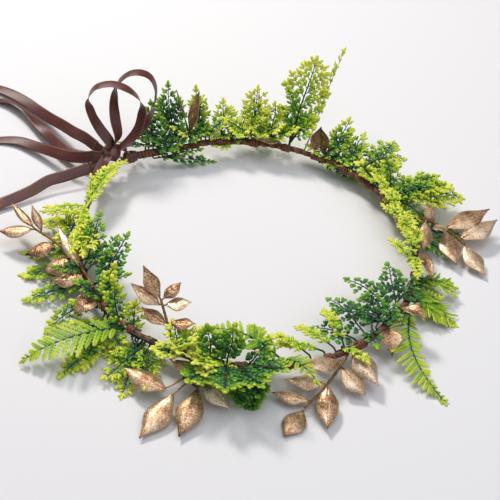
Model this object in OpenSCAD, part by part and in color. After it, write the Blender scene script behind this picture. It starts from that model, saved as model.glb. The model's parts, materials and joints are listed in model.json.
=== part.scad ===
// Flower crown: a taped wire ring with plastic fern sprigs and gold leaf sprays, tied with a satin bow.
// Millimetres, +Z up. The origin is the middle of the head opening, on the table.
// The ribbon ties the two wire ends together at the back left.

/* [Wire ring] */
// Radius of the ring at the middle of the wire
ring_r = 95.5; // [94:0.5:97]
// Height of the wire above the table
ring_z = 10; // [9.5:0.5:12]
// Radius of the bare wire
wire_r = 0.9; // [0.7:0.1:1]
// Outer radius of the paper tape round the wire
tape_r = 1.6; // [1.4:0.1:1.8]
// Outer radius of the thick taping beside the bow
tie_tape_r = 2.3; // [2.1:0.1:2.4]
// Angle on the ring where the right end leaves the circle
right_end_a = 118; // [117:0.5:119]
// Angle on the ring where the left end leaves the circle
left_end_a = -184; // [-185:0.5:-183]
// Length of the straight right end
right_end_l = 42; // [41:0.5:43]
// Length of the straight left end
left_end_l = 42; // [41:0.5:43]

/* [Binding] */
// Outer radius of the bands that hold the sprigs
band_r = 2.6; // [2.3:0.1:2.8]
// Length of a band along the ring, in degrees
band_a = 3; // [2:0.5:3.5]

/* [Ribbon] */
// Width of the satin ribbon
ribbon_w = 7; // [6:0.5:7]
// Thickness of the ribbon
ribbon_t = 0.6; // [0.4:0.1:0.8]

/* [Sprigs and leaves] */
// Distance from the middle of the wire to the foot of a sprig
foot_r = 3.6; // [3.4:0.1:4]
// Greatest thickness of a fern sprig
fern_t = 1.8; // [1.4:0.1:2]
// Thickness of a gold leaf
leaf_t = 0.8; // [0.6:0.1:1]
// Depth of the hollow of a gold leaf, as a share of its width
leaf_cup = 0.16; // [0.1:0.02:0.2]
// Radius of a gold spray's stem
stem_r = 0.8; // [0.6:0.1:0.9]
// Gap between a stem's middle and the foot of a leaf on it
leaf_gap = 2; // [1.2:0.1:2.4]

/* [Hidden] */
gap = 0.1;
tie_tape_at = 22;
eye_r = 2.2;
eye_wire_r = 0.7;
crimp_l = 3;
hitch_r = 3.9;
hitch_l = 7;
knot_at = [-88, 60.5, 16];
knot_size = [13, 9, 8];
round_fn = 48;
loop_steps = 3;
tube_fn = 24;

// Share of the full width at even steps from foot to tip
fern_outline = [0.15, 0.75, 1, 0.95, 0.75, 0.45, 0.12];
leaf_outline = [0.15, 0.6, 0.95, 1, 0.75, 0.35, 0.08];
stem_outline = [1, 1, 1, 1, 0.9, 0.8];

// Sprigs: [angle on the ring, seat round the wire, heading, reach, tip height, width, arch, sway, roll]
// Seat 0 is the outside of the wire and 90 its top. Heading 0 points straight out from the ring.
// Reach is the length in plan, arch raises the middle and sway moves it left, roll turns the blade.
BACK_FERN_1 = [131, 60, -15, 20, 31, 14, 0, 0, 20];
BACK_FERN_2 = [123, 60, -10, 22, 40, 14, 0, 0, 0];
BACK_FERN_3 = [112, 60, 2, 14, 39, 11, 0, 0, 0];
BACK_FERN_4 = [93, 60, -5, 14, 39, 16, 0, 0, 0];
BACK_LOW_SPRIGS = [
    [104, 50, -8, 13, 29, 11, 0, 0, 0],
    [98, 40, 20, 18, 22, 11, 0, 0, 0],
    [86, 60, 0, 10, 32, 11, 0, 0, 0]
];
BACK_UNDER_SPRIGS = [[128, 230, -100, 32, 0.5, 8, 0, 0, 0], [67, -60, -80, 32, 0.5, 9, 0, 0, 0]];
TALL_FROND = [79, 60, -12, 26, 58, 26, 0, 0, 0];
BACK_BRANCH = [73, 20, 0, 62, 47, 8, 0, 0, 60];
BACK_RIGHT_SPRIGS = [[62, 50, 4, 19, 29, 11, 0, 0, 0], [56, 50, 8, 20, 22, 11, 0, 0, 0]];
BACK_FERN_5 = [48, 45, 6, 34, 17, 14, 6, 0, 0];
BACK_FERN_6 = [41, 70, 12, 18, 22, 12, 3, 0, 0];
RIGHT_FERN_1 = [35, 15, -27, 45, 10, 20, 5, 0, 0];
RIGHT_FERN_2 = [30, 45, 9, 30, 21, 13, 4, 0, 0];
RIGHT_FERN_3 = [19, -40, -11, 34, 3, 12, 0, 0, 0];
RIGHT_CURLS = [[21, 110, 105, 22, 20, 10, 3, 0, 0], [359, 110, 108, 26, 18, 10, 3, 0, 0]];
RIGHT_FERN_4 = [350, 0, 30, 22, 3, 14, 3, 0, 0];
RIGHT_FERN_5 = [343, -10, -4, 24, 0.5, 16, 2, 0, 0];
TRAILING_FROND = [338, -15, -52, 60, 0.5, 13, 3, -8, 0];
FRONT_INNER_SPRIGS = [[331, 160, 172, 30, 15, 14, 3, 0, 0], [316, 150, 178, 28, 15, 14, 3, 0, 0]];
FRONT_FERN_1 = [303, 140, -150, 22, 15, 12, 2, 0, 0];
ARCHING_FROND = [285, 120, -123, 45, 14, 15, 8, 0, 0];
FRONT_FERN_2 = [268, 60, 172, 9, 29, 13, 0, 0, 0];
FRONT_FERN_3 = [273, -30, 20, 16, 0.5, 14, 0, 0, 0];
FRONT_SMALL_SPRIGS = [[264, 80, -30, 14, 22, 10, 0, 0, 0], [253, 90, 40, 9, 26, 11, 0, 0, 0]];
BROAD_FROND = [233, 10, -27, 51, 4, 25, 6, 0, 0];
LEFT_FERN_1 = [228, -40, 11, 38, 0.5, 12, 0, 0, 0];
LEFT_FERN_2 = [239, -30, 26, 30, 0.5, 13, 0, 0, 0];
LEFT_OUTER_SPRIGS = [[217, -20, 4, 26, 2, 11, 2, 0, 0], [208, -30, -8, 28, 2, 11, 0, 0, 0]];
LEFT_LOW_SPRIGS = [[200, -40, -14, 28, 1, 11, 0, 0, 0], [191, -40, -12, 27, 0.5, 11, 0, 0, 0]];
LEFT_FERN_3 = [181, 0, -18, 18, 6, 10, 0, 0, 0];
LIME_FROND = [175, 90, -105, 48, 16, 11, 3, 0, 0];
INNER_FROND = [216, 130, -142, 33, 25, 12, 0, 0, 0];
LEFT_FERN_4 = [203, 120, -120, 27, 26, 11, 0, 0, 0];
LOOSE_GOLD = [
    [65, 60, 80, 6, 30, 9, 0, 0, 0],
    [69, 60, 5, 8, 26, 8, 0, 0, 0],
    [82, 90, 112, 17, 17, 7, 0, 0, 0],
    [107, 90, -30, 5, 19, 5, 0, 0, 0],
    [2, 60, -76, 24, 13, 6, 4, 0, 0],
    [333, 80, -8, 16, 16, 7, 3, 0, 0],
    [323, 30, -42, 14, 7, 11, 3, 0, 0],
    [219, 40, 6, 14, 9, 11, 3, 0, 0]
];

// Gold spray stems: [angle on the ring, seat, heading, reach, tip height, arch, sway to the left]
// Their leaves: [place along the stem, heading from the stem, reach, rise, width, roll]
RIGHT_STEM = [23, 30, -48, 38, 8, 0, 5];
RIGHT_LEAVES = [
    [0.6, 58, 31, 4, 13, 0],
    [0.9, 64, 28, 3, 12, 0],
    [0.62, -52, 25, -4, 12, 0],
    [0.98, -34, 22, -5, 11, 0],
    [0.45, 150, 9, 8, 8, 0],
    [0.45, -50, 13, 7, 8, 0],
    [0.3, -70, 23, -3, 9, 0]
];
FRONT_RIGHT_STEM = [309, 90, -70, 44, 3, 0, 2];
FRONT_RIGHT_LEAVES = [
    [0.02, 66, 23, -6, 12, 0],
    [0.32, 78, 17, -6, 11, 0],
    [0.24, -32, 22, 4, 10, 0],
    [0.6, -54, 20, 2, 9, 0],
    [0.88, -64, 19, 1, 8, 0],
    [1, 5, 19, -1, 11, 0],
    [0.6, 33, 25, -3, 11, 0]
];
FRONT_LEFT_STEM = [260, 0, -27, 22, 8, 0, 9];
FRONT_LEFT_LEAVES = [
    [1, -78, 25, 1, 12, 0],
    [0.93, 10, 28, -6, 12, 0],
    [0.45, 24, 27, -6, 12, 0],
    [0.25, 87, 19, -5, 10, 0],
    [0.15, -72, 16, 2, 8, 0]
];
INNER_STEM = [250, 130, -132, 19, 26, 0, 0];
INNER_LEAVES = [
    [1, 15, 15, 12, 8, 0],
    [0.85, 42, 17, 8, 9, 0],
    [1, -73, 11, 6, 7, 0],
    [0.9, -108, 13, 2, 9, 0],
    [0.5, -125, 13, 3, 8, 0],
    [0.4, 31, 16, 3, 8, 0]
];
LEFT_STEM = [214, 90, -80, 57, 13.5, 0, -4];
LEFT_LEAVES = [
    [1, 48, 19, -4, 10, 0],
    [0.72, 68, 15, -6, 11, 0],
    [0.45, 75, 15, -6, 12, 0],
    [0.18, 52, 17, -6, 11, 0],
    [1, 0, 23, 2, 5, 0],
    [0.9, -12, 15, 8, 5, 0],
    [0.25, -9, 32, 6, 6, 0]
];
BACK_STEM = [116, 60, 14, 6, 22, 0, 0];
BACK_LEAVES = [
    [1, 75, 7, 26, 7, 0],
    [0.3, -80, 6, 30, 7, 0]
];

// Bow loops: [point, direction that the ribbon's width lies in]
BOW_LEFT = [
    [[-87.5, 61, 20.5], [0, 1, 0]], [[-90, 63, 24], [1, 1, 0]], [[-96, 66, 30], [1, 1, 0]],
    [[-101, 69, 37], [1, 2, 0]], [[-104, 75, 43], [0, 1, 0]], [[-101, 81, 48], [0, 1, 0]],
    [[-92, 84, 50], [0, 1, 0]], [[-82, 82, 49], [0, 1, 0]], [[-75, 81, 44], [-1, 3, 0]],
    [[-72, 76, 38], [-1, 1, 0]], [[-73, 70, 31], [-1, 1, 0]], [[-77, 65, 25], [-1, 1, 0]],
    [[-83.5, 60, 20], [0, 1, 0]]
];
BOW_RIGHT = [
    [[-86, 63, 20.5], [0, 1, 0]], [[-85, 67, 26], [1, 2, 0]], [[-88, 75, 32], [1, 1, 0]],
    [[-90, 83, 39], [1, 2, 0]], [[-89, 90, 46], [0, 1, 0]], [[-84, 94, 51], [0, 1, 0]],
    [[-77, 95, 53], [0, 1, 0]], [[-70, 96, 50], [0, 1, 0]], [[-66, 92, 44], [0, 1, 0]],
    [[-66, 85, 37], [0, 1, 0]], [[-69, 79, 30], [-1, 2, 0]], [[-74, 72, 25], [-1, 1, 0]],
    [[-81.5, 64.5, 20], [0, 1, 0]]
];
// Ribbon tails: [x, y, z, roll about the route]. Roll 0 lies flat.
TAIL_1 = [
    [-98, 66, 16, -60], [-106, 73, 16, -55], [-115, 82, 13, -50], [-124, 92, 10, -45], [-134, 102, 7, -40],
    [-144, 112, 5, -30], [-155, 122, 4, -20], [-168, 131, 3, -10], [-182, 136, 2, 0], [-196, 134, 1, 0],
    [-208, 126, 1, 0], [-216, 114, 1, 0], [-220, 99, 1, 0], [-221, 84, 1, 0], [-220, 69, 1, 0],
    [-218, 54, 1, 0], [-217, 40, 1, 0]
];
TAIL_2 = [
    [-97, 62, 10, -30], [-105, 64, 9, -30], [-114, 67, 8, -30], [-123, 75, 7, -30], [-132, 86, 6, -25],
    [-142, 99, 5, 10], [-153, 111, 5, 40], [-165, 120, 3, 20], [-179, 122, 1, 0], [-192, 115, 1, 0],
    [-201, 103, 1, 0], [-206, 88, 1, 0], [-207, 73, 1, 0], [-205, 58, 1, 0], [-202, 43, 1, 0], [-199, 29, 1, 0]
];
TAIL_3 = [
    [-97, 56.5, 16, -60], [-106, 56, 14, -55], [-116, 60, 11, -45], [-127, 67, 8, -35], [-138, 74, 5, -25],
    [-150, 80, 3, -10], [-164, 80, 1, 0], [-177, 73, 1, 0], [-186, 61, 1, 0], [-191, 46, 1, 0],
    [-191, 31, 1, 0], [-188, 16, 1, 0], [-183, 2, 1, 0], [-177, -12, 1, 0], [-172, -26, 1, 0]
];
TAIL_4 = [
    [-99, 53, 9.5, -40], [-106, 49, 8.5, -40], [-114, 44, 7.5, -40], [-122, 39, 7, -35], [-130, 31, 5, -30],
    [-139, 23, 4, -25], [-150, 15, 3, -10], [-162, 6, 1, 0], [-169, -7, 1, 0], [-165, -21, 1, 0],
    [-158, -34, 1, 0], [-153, -48, 1, 0], [-151, -63, 1, 0], [-153, -78, 1, 0], [-158, -92, 1, 0]
];

// Ring angles of the binding bands
BAND_ANGLES = [
    122, 115, 104, 92, 80, 68, 56, 44, 33, 18, 6, -7, -18, -37, -47, -60, -74, -88, -100, -112, -125, -139,
    -156, -166, -176
];

fern_dark = [0.13, 0.36, 0.18];
fern_mid = [0.36, 0.56, 0.16];
fern_lime = [0.62, 0.76, 0.18];
gold = [0.66, 0.5, 0.32];
gold_stem = [0.5, 0.38, 0.24];
satin = [0.3, 0.16, 0.14];
tape_brown = [0.36, 0.2, 0.13];

function unit(v) = v / norm(v);
function level(a) = [cos(a), sin(a), 0];
function mix(a, b, t) = a + (b - a) * t;

// The ring as a path by angle: a circle, with straight runs past each end angle
function signed(a) = a > 150 ? a - 360 : a;
function held(a) = min(max(signed(a), left_end_a), right_end_a);
function wire_at(a) = ring_r * level(held(a)) + (signed(a) - held(a)) * PI / 180 * ring_r * level(held(a) + 90)
    + [0, 0, ring_z];

// Foot and tip of a sprig, and the points of its spine
function foot(a, seat) = wire_at(a) + foot_r * (cos(seat) * level(held(a)) + [0, 0, sin(seat)]);
function tip(from, plan, reach, tip_z) = [from[0] + reach * cos(plan), from[1] + reach * sin(plan), tip_z];
function on_spine(from, to, left, arch, sway, t) =
    mix(from, to, t) + 4 * t * (1 - t) * ([0, 0, arch] + sway * left);
function spine(from, plan, reach, tip_z, arch, sway, n) = [
    for (i = [0:n]) on_spine(from, tip(from, plan, reach, tip_z), level(plan + 90), arch, sway, i / n)
];
function heading_of(s) = held(s[0]) + s[2];
function stem_point(s, t) = on_spine(
    foot(s[0], s[1]), tip(foot(s[0], s[1]), heading_of(s), s[3], s[4]), level(heading_of(s) + 90), s[5], s[6], t
);

// A point between points i and i + 1 of a list, on a smooth curve through them all
function smooth_point(p, i, t) =
    let (a = p[max(i - 1, 0)], b = p[i], c = p[i + 1], d = p[min(i + 2, len(p) - 1)])
    b + t / 2 * (c - a + t * (2 * a - 5 * b + 4 * c - d + t * (3 * (b - c) + d - a)));
function smooth(p, steps) = concat(
    [for (i = [0:len(p) - 2]) for (k = [0:steps - 1]) smooth_point(p, i, k / steps)], [p[len(p) - 1]]
);

// Direction of a path at its point i
function along(path, i) = unit(path[min(i + 1, len(path) - 1)] - path[max(i - 1, 0)]);
// The given width direction, made square to the path
function across(path, i, wide) = unit(wide - (wide * along(path, i)) * along(path, i));

// A closed solid swept along a path: section i is a list of [across, up] pairs
module swept(path, wide, sections) {
    sides = len(sections[0]);
    last = len(path) - 1;
    points = [
        for (i = [0:last]) for (p = sections[i])
            path[i] + p[0] * across(path, i, wide[i]) + p[1] * cross(along(path, i), across(path, i, wide[i]))
    ];
    faces = [
        for (i = [0:last - 1]) for (k = [0:sides - 1]) for (f = [
            [i * sides + k, (i + 1) * sides + k, i * sides + (k + 1) % sides],
            [i * sides + (k + 1) % sides, (i + 1) * sides + k, (i + 1) * sides + (k + 1) % sides]
        ]) f
    ];
    caps = [[for (k = [0:sides - 1]) k], [for (k = [sides - 1:-1:0]) last * sides + k]];
    polyhedron(points = points, faces = concat(faces, caps), convexity = 4);
}

// A flat, tapering blade along a spine, with its edges raised by cup
module blade(path, plan, width, thick, outline, cup, roll) {
    n = len(path);
    wide = [
        for (i = [0:n - 1]) cos(roll) * level(plan + 90)
            + sin(roll) * cross(along(path, i), level(plan + 90))
    ];
    sections = [
        for (i = [0:n - 1]) let (w = width * outline[i] / 2, t = thick * (0.4 + 0.6 * outline[i]) / 2)
            [[w, cup * width * outline[i]], [0, t], [-w, cup * width * outline[i]], [0, -t]]
    ];
    swept(path, wide, sections);
}

module fern(s) {
    plan = heading_of(s);
    path = spine(foot(s[0], s[1]), plan, s[3], s[4], s[6], s[7], len(fern_outline) - 1);
    blade(path, plan, s[5], fern_t, fern_outline, 0, s[8]);
}

module single_gold_leaf(s) {
    plan = heading_of(s);
    path = spine(foot(s[0], s[1]), plan, s[3], s[4], s[6], s[7], len(leaf_outline) - 1);
    blade(path, plan, s[5], leaf_t, leaf_outline, leaf_cup, s[8]);
}

module spray_stem(s) {
    n = len(stem_outline) - 1;
    path = [for (i = [0:n]) stem_point(s, i / n)];
    wide = [for (i = [0:n]) level(heading_of(s) + 90)];
    swept(path, wide, [for (k = stem_outline) [for (j = [0:5]) k * stem_r * [cos(60 * j), sin(60 * j)]]]);
}

module spray_leaves(s, leaves) {
    for (leaf = leaves) {
        plan = heading_of(s) + leaf[1];
        start = stem_point(s, leaf[0]);
        from = start + leaf_gap * unit([leaf[2] * cos(plan), leaf[2] * sin(plan), leaf[3]]);
        path = spine(from, plan, leaf[2], start[2] + leaf[3], 0, 0, len(leaf_outline) - 1);
        blade(path, plan, leaf[4], leaf_t, leaf_outline, leaf_cup, leaf[5]);
    }
}

module ribbon(path, wide) {
    flat = [[ribbon_w, ribbon_t], [-ribbon_w, ribbon_t], [-ribbon_w, -ribbon_t], [ribbon_w, -ribbon_t]] / 2;
    swept(path, wide, [for (p = path) flat]);
}

// A loop is smoothed between its points, so that it bends and twists evenly
module bow_loop(route) {
    ribbon(smooth([for (r = route) r[0]], loop_steps), smooth([for (r = route) unit(r[1])], loop_steps));
}

// A tail's width is level at roll 0, and its left edge rises with roll
module ribbon_tail(route) {
    path = [for (r = route) [r[0], r[1], r[2]]];
    wide = [
        for (i = [0:len(path) - 1]) let (left = unit(cross([0, 0, 1], along(path, i))))
            cos(route[i][3]) * left + sin(route[i][3]) * cross(along(path, i), left)
    ];
    ribbon(path, wide);
}

// A ring-shaped piece round the wire, from one ring angle over a number of degrees
module sleeve_arc(start, sweep, inner, outer) {
    translate([0, 0, ring_z]) rotate([0, 0, start]) rotate_extrude(angle = sweep, $fn = 180)
        translate([ring_r, 0]) difference() {
            circle(outer, $fn = tube_fn);
            if (inner > 0) circle(inner, $fn = tube_fn);
        }
}

// Places a piece that points along +Z onto a straight wire end, a distance past the circle
module on_right_end(at) {
    rotate([0, 0, right_end_a]) translate([ring_r, at, ring_z]) rotate([-90, 0, 0]) children();
}
module on_left_end(at) {
    rotate([0, 0, left_end_a]) translate([ring_r, -at, ring_z]) rotate([90, 0, 0]) children();
}

module sleeve(length, inner, outer) {
    linear_extrude(length) difference() {
        circle(outer, $fn = tube_fn);
        if (inner > 0) circle(inner, $fn = tube_fn);
    }
}

// A short crimp joins the circle of wire to each straight end
module crimp() {
    translate([0, 0, -crimp_l / 2]) cylinder(h = crimp_l, r = wire_r + 0.8 * gap, $fn = tube_fn);
}

// The eye lies level, so the ribbon passes up and down through it
module eye() {
    rotate([90, 0, 0]) rotate_extrude($fn = round_fn)
        translate([eye_r, 0]) circle(eye_wire_r, $fn = tube_fn);
}

module wire_core() {
    color("dimgray") {
        sleeve_arc(left_end_a, right_end_a - left_end_a, 0, wire_r);
        on_right_end(2 * gap) sleeve(right_end_l - 2 * gap, 0, wire_r);
        on_left_end(2 * gap) sleeve(left_end_l - 2 * gap, 0, wire_r);
        on_right_end(0) crimp();
        on_left_end(0) crimp();
        on_right_end(right_end_l + eye_r) eye();
        on_left_end(left_end_l + eye_r) eye();
    }
}

module tape_wrap() {
    color(tape_brown) sleeve_arc(left_end_a, right_end_a - left_end_a, wire_r + gap, tape_r);
}

// The taping of a straight wire end: thin beside the ring, and thick beside the bow
module end_taping(end_l) {
    color(tape_brown) {
        translate([0, 0, gap]) sleeve(tie_tape_at, wire_r + gap, tape_r);
        translate([0, 0, tie_tape_at])
            sleeve(end_l - tie_tape_at - 2 * eye_wire_r, wire_r + gap, tie_tape_r);
    }
}
module tie_tape_right() { on_right_end(0) end_taping(right_end_l); }
module tie_tape_left() { on_left_end(0) end_taping(left_end_l); }

module binding_bands() {
    color(tape_brown) for (a = BAND_ANGLES) {
        if (a > right_end_a) {
            on_right_end((a - right_end_a - band_a / 2) * PI / 180 * ring_r)
                sleeve(band_a * PI / 180 * ring_r, tape_r + gap, band_r);
        } else {
            sleeve_arc(a - band_a / 2, band_a, tape_r + gap, band_r);
        }
    }
}

module ribbon_hitch_right() {
    color(satin) on_right_end(right_end_l - hitch_l - 2 * eye_wire_r) sleeve(hitch_l, tie_tape_r + gap, hitch_r);
}

module ribbon_hitch_left() {
    color(satin) on_left_end(left_end_l - hitch_l - 2 * eye_wire_r) sleeve(hitch_l, tie_tape_r + gap, hitch_r);
}

// A tail leaves the knot pinched, and widens to its full width where its own node begins
module pinched_start(route) {
    from = [route[0][0], route[0][1], route[0][2]];
    ahead = unit([route[1][0], route[1][1], route[1][2]] - from);
    left = unit(cross([0, 0, 1], ahead));
    wide = cos(route[0][3]) * left + sin(route[0][3]) * cross(ahead, left);
    sections = [for (w = [0.3, 0.7]) [
        [w * ribbon_w, ribbon_t], [-w * ribbon_w, ribbon_t], [-w * ribbon_w, -ribbon_t], [w * ribbon_w, -ribbon_t]
    ] / 2];
    swept([knot_at, from - 8 * gap * ahead], [wide, wide], sections);
}

// The knot itself, rounded: oval sections along X
module knot_body() {
    turns = [for (i = [0:8]) 12 + 156 * i / 8];
    path = [for (a = turns) knot_at - [cos(a) * knot_size[0] / 2, 0, 0]];
    sections = [for (a = turns) sin(a) / 2 * [
        for (j = [0:15]) [knot_size[1] * cos(22.5 * j), knot_size[2] * sin(22.5 * j)]
    ]];
    swept(path, [for (a = turns) [0, 1, 0]], sections);
}

// The knot with the two straps that come to it over the hitches, and the starts of the tails
module ribbon_knot() {
    strap_l = 16;
    color(satin) {
        for (route = [TAIL_1, TAIL_2, TAIL_3, TAIL_4]) pinched_start(route);
        knot_body();
        on_right_end(right_end_l - hitch_l) translate([-ribbon_w / 2, -hitch_r - gap - ribbon_t, 0])
            cube([ribbon_w, ribbon_t, strap_l]);
        on_left_end(left_end_l - hitch_l) translate([-ribbon_w / 2, hitch_r + gap, 0])
            cube([ribbon_w, ribbon_t, strap_l]);
    }
}

module bow_loop_left() { color(satin) bow_loop(BOW_LEFT); }
module bow_loop_right() { color(satin) bow_loop(BOW_RIGHT); }
module ribbon_tail_1() { color(satin) ribbon_tail(TAIL_1); }
module ribbon_tail_2() { color(satin) ribbon_tail(TAIL_2); }
module ribbon_tail_3() { color(satin) ribbon_tail(TAIL_3); }
module ribbon_tail_4() { color(satin) ribbon_tail(TAIL_4); }

module right_spray_stem() { color(gold_stem) spray_stem(RIGHT_STEM); }
module right_spray_leaves() { color(gold) spray_leaves(RIGHT_STEM, RIGHT_LEAVES); }
module front_right_spray_stem() { color(gold_stem) spray_stem(FRONT_RIGHT_STEM); }
module front_right_spray_leaves() { color(gold) spray_leaves(FRONT_RIGHT_STEM, FRONT_RIGHT_LEAVES); }
module front_left_spray_stem() { color(gold_stem) spray_stem(FRONT_LEFT_STEM); }
module front_left_spray_leaves() { color(gold) spray_leaves(FRONT_LEFT_STEM, FRONT_LEFT_LEAVES); }
module inner_spray_stem() { color(gold_stem) spray_stem(INNER_STEM); }
module inner_spray_leaves() { color(gold) spray_leaves(INNER_STEM, INNER_LEAVES); }
module left_spray_stem() { color(gold_stem) spray_stem(LEFT_STEM); }
module left_spray_leaves() { color(gold) spray_leaves(LEFT_STEM, LEFT_LEAVES); }
module back_spray_stem() { color(gold_stem) spray_stem(BACK_STEM); }
module back_spray_leaves() { color(gold) spray_leaves(BACK_STEM, BACK_LEAVES); }
module loose_gold_leaves() { color(gold) for (s = LOOSE_GOLD) single_gold_leaf(s); }

module back_fern_1() { color(fern_dark) fern(BACK_FERN_1); }
module back_fern_2() { color(fern_dark) fern(BACK_FERN_2); }
module back_fern_3() { color(fern_mid) fern(BACK_FERN_3); }
module back_fern_4() { color(fern_lime) fern(BACK_FERN_4); }
module back_fern_5() { color(fern_mid) fern(BACK_FERN_5); }
module back_fern_6() { color(fern_lime) fern(BACK_FERN_6); }
module back_low_sprigs() { color(fern_mid) for (s = BACK_LOW_SPRIGS) fern(s); }
module back_under_sprigs() { color(fern_dark) for (s = BACK_UNDER_SPRIGS) fern(s); }
module back_right_sprigs() { color(fern_mid) for (s = BACK_RIGHT_SPRIGS) fern(s); }
module tall_frond() { color(fern_lime) fern(TALL_FROND); }
module back_branch() { color(fern_lime) fern(BACK_BRANCH); }
module right_fern_1() { color(fern_lime) fern(RIGHT_FERN_1); }
module right_fern_2() { color(fern_mid) fern(RIGHT_FERN_2); }
module right_fern_3() { color(fern_mid) fern(RIGHT_FERN_3); }
module right_fern_4() { color(fern_mid) fern(RIGHT_FERN_4); }
module right_fern_5() { color(fern_mid) fern(RIGHT_FERN_5); }
module right_curls() { color(fern_lime) for (s = RIGHT_CURLS) fern(s); }
module trailing_frond() { color(fern_mid) fern(TRAILING_FROND); }
module front_inner_sprigs() { color(fern_dark) for (s = FRONT_INNER_SPRIGS) fern(s); }
module front_fern_1() { color(fern_lime) fern(FRONT_FERN_1); }
module front_fern_2() { color(fern_dark) fern(FRONT_FERN_2); }
module front_fern_3() { color(fern_dark) fern(FRONT_FERN_3); }
module front_small_sprigs() { color(fern_lime) for (s = FRONT_SMALL_SPRIGS) fern(s); }
module arching_frond() { color(fern_mid) fern(ARCHING_FROND); }
module broad_frond() { color(fern_mid) fern(BROAD_FROND); }
module left_fern_1() { color(fern_dark) fern(LEFT_FERN_1); }
module left_fern_2() { color(fern_mid) fern(LEFT_FERN_2); }
module left_fern_3() { color(fern_lime) fern(LEFT_FERN_3); }
module left_fern_4() { color(fern_dark) fern(LEFT_FERN_4); }
module left_outer_sprigs() { color(fern_mid) for (s = LEFT_OUTER_SPRIGS) fern(s); }
module left_low_sprigs() { color(fern_mid) for (s = LEFT_LOW_SPRIGS) fern(s); }
module lime_frond() { color(fern_lime) fern(LIME_FROND); }
module inner_frond() { color(fern_dark) fern(INNER_FROND); }

wire_core();
tape_wrap();
tie_tape_right();
tie_tape_left();
binding_bands();
ribbon_hitch_right();
ribbon_hitch_left();
ribbon_knot();
bow_loop_left();
bow_loop_right();
ribbon_tail_1();
ribbon_tail_2();
ribbon_tail_3();
ribbon_tail_4();
right_spray_stem();
right_spray_leaves();
front_right_spray_stem();
front_right_spray_leaves();
front_left_spray_stem();
front_left_spray_leaves();
inner_spray_stem();
inner_spray_leaves();
left_spray_stem();
left_spray_leaves();
back_spray_stem();
back_spray_leaves();
loose_gold_leaves();
back_fern_1();
back_fern_2();
back_fern_3();
back_fern_4();
back_fern_5();
back_fern_6();
back_low_sprigs();
back_under_sprigs();
back_right_sprigs();
tall_frond();
back_branch();
right_fern_1();
right_fern_2();
right_fern_3();
right_fern_4();
right_fern_5();
right_curls();
trailing_frond();
front_inner_sprigs();
front_fern_1();
front_fern_2();
front_fern_3();
front_small_sprigs();
arching_frond();
broad_frond();
left_fern_1();
left_fern_2();
left_fern_3();
left_fern_4();
left_outer_sprigs();
left_low_sprigs();
lime_frond();
inner_frond();
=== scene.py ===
"""Looks of the flower crown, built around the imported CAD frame.

The place, length, width and tilt of every fern, leaf and stem come from the frame's own nodes:
each CAD blade is read back as a spine with half widths, and a detailed sprig or leaf grows along it.
"""
import copy
import json
import math
from types import SimpleNamespace

import bpy
import numpy as np
from mathutils import Matrix, Vector

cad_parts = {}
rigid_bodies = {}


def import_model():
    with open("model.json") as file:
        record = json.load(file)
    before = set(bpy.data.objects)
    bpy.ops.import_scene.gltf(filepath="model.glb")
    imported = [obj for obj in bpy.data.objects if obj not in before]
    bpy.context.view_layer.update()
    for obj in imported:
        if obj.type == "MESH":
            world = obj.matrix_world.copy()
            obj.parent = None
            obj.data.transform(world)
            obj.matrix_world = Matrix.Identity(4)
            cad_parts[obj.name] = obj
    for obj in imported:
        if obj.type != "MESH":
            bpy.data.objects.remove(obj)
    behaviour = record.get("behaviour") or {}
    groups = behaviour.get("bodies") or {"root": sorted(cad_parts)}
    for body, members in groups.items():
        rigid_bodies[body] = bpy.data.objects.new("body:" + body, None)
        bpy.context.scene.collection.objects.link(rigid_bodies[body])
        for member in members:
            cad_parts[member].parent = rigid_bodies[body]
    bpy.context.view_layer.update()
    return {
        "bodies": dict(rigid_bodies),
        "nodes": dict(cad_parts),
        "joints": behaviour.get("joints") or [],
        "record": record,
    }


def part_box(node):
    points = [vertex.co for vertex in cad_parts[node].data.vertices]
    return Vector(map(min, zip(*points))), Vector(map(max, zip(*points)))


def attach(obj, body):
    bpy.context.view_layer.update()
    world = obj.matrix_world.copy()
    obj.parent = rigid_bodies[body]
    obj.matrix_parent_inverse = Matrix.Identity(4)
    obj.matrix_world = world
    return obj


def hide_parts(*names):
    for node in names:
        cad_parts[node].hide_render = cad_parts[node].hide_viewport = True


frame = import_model()
NODES = frame["nodes"]
BODY_OF = {node: body for body, nodes in frame["record"]["behaviour"]["bodies"].items() for node in nodes}
MM = 0.001
UP = np.array([0.0, 0.0, 1.0])
TURN = 2 * math.pi
NO_CORNER = -1  # stands in the fourth place of a triangle
LOWEST = 1.6 * MM  # the lowest middle line of an added sprig
TABLE_FILM = 0.2 * MM  # what would hang lower is pressed into a film of about this height

# Driving sizes of the wire and ribbon, as in the CAD model
TAPE_R = 1.6 * MM
TIE_TAPE_R = 2.3 * MM
BAND_R = 2.6 * MM
RING_Z = 10 * MM
RIGHT_END_ANGLE = math.radians(118)
LEFT_END_ANGLE = math.radians(-184)
END_LENGTH = 42 * MM
TIE_TAPE_AT = 22 * MM
RIBBON_WIDTH = 7 * MM
RING_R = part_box("tape_wrap")[1].x - TAPE_R
HITCH_LENGTH = 7 * MM


# ---------------------------------------------------------------- numbers and curves

def unit(v):
    """Vectors of length 1, along the last axis."""
    v = np.asarray(v, float)
    return v / np.maximum(np.linalg.norm(v, axis=-1, keepdims=True), 1e-12)


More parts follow.
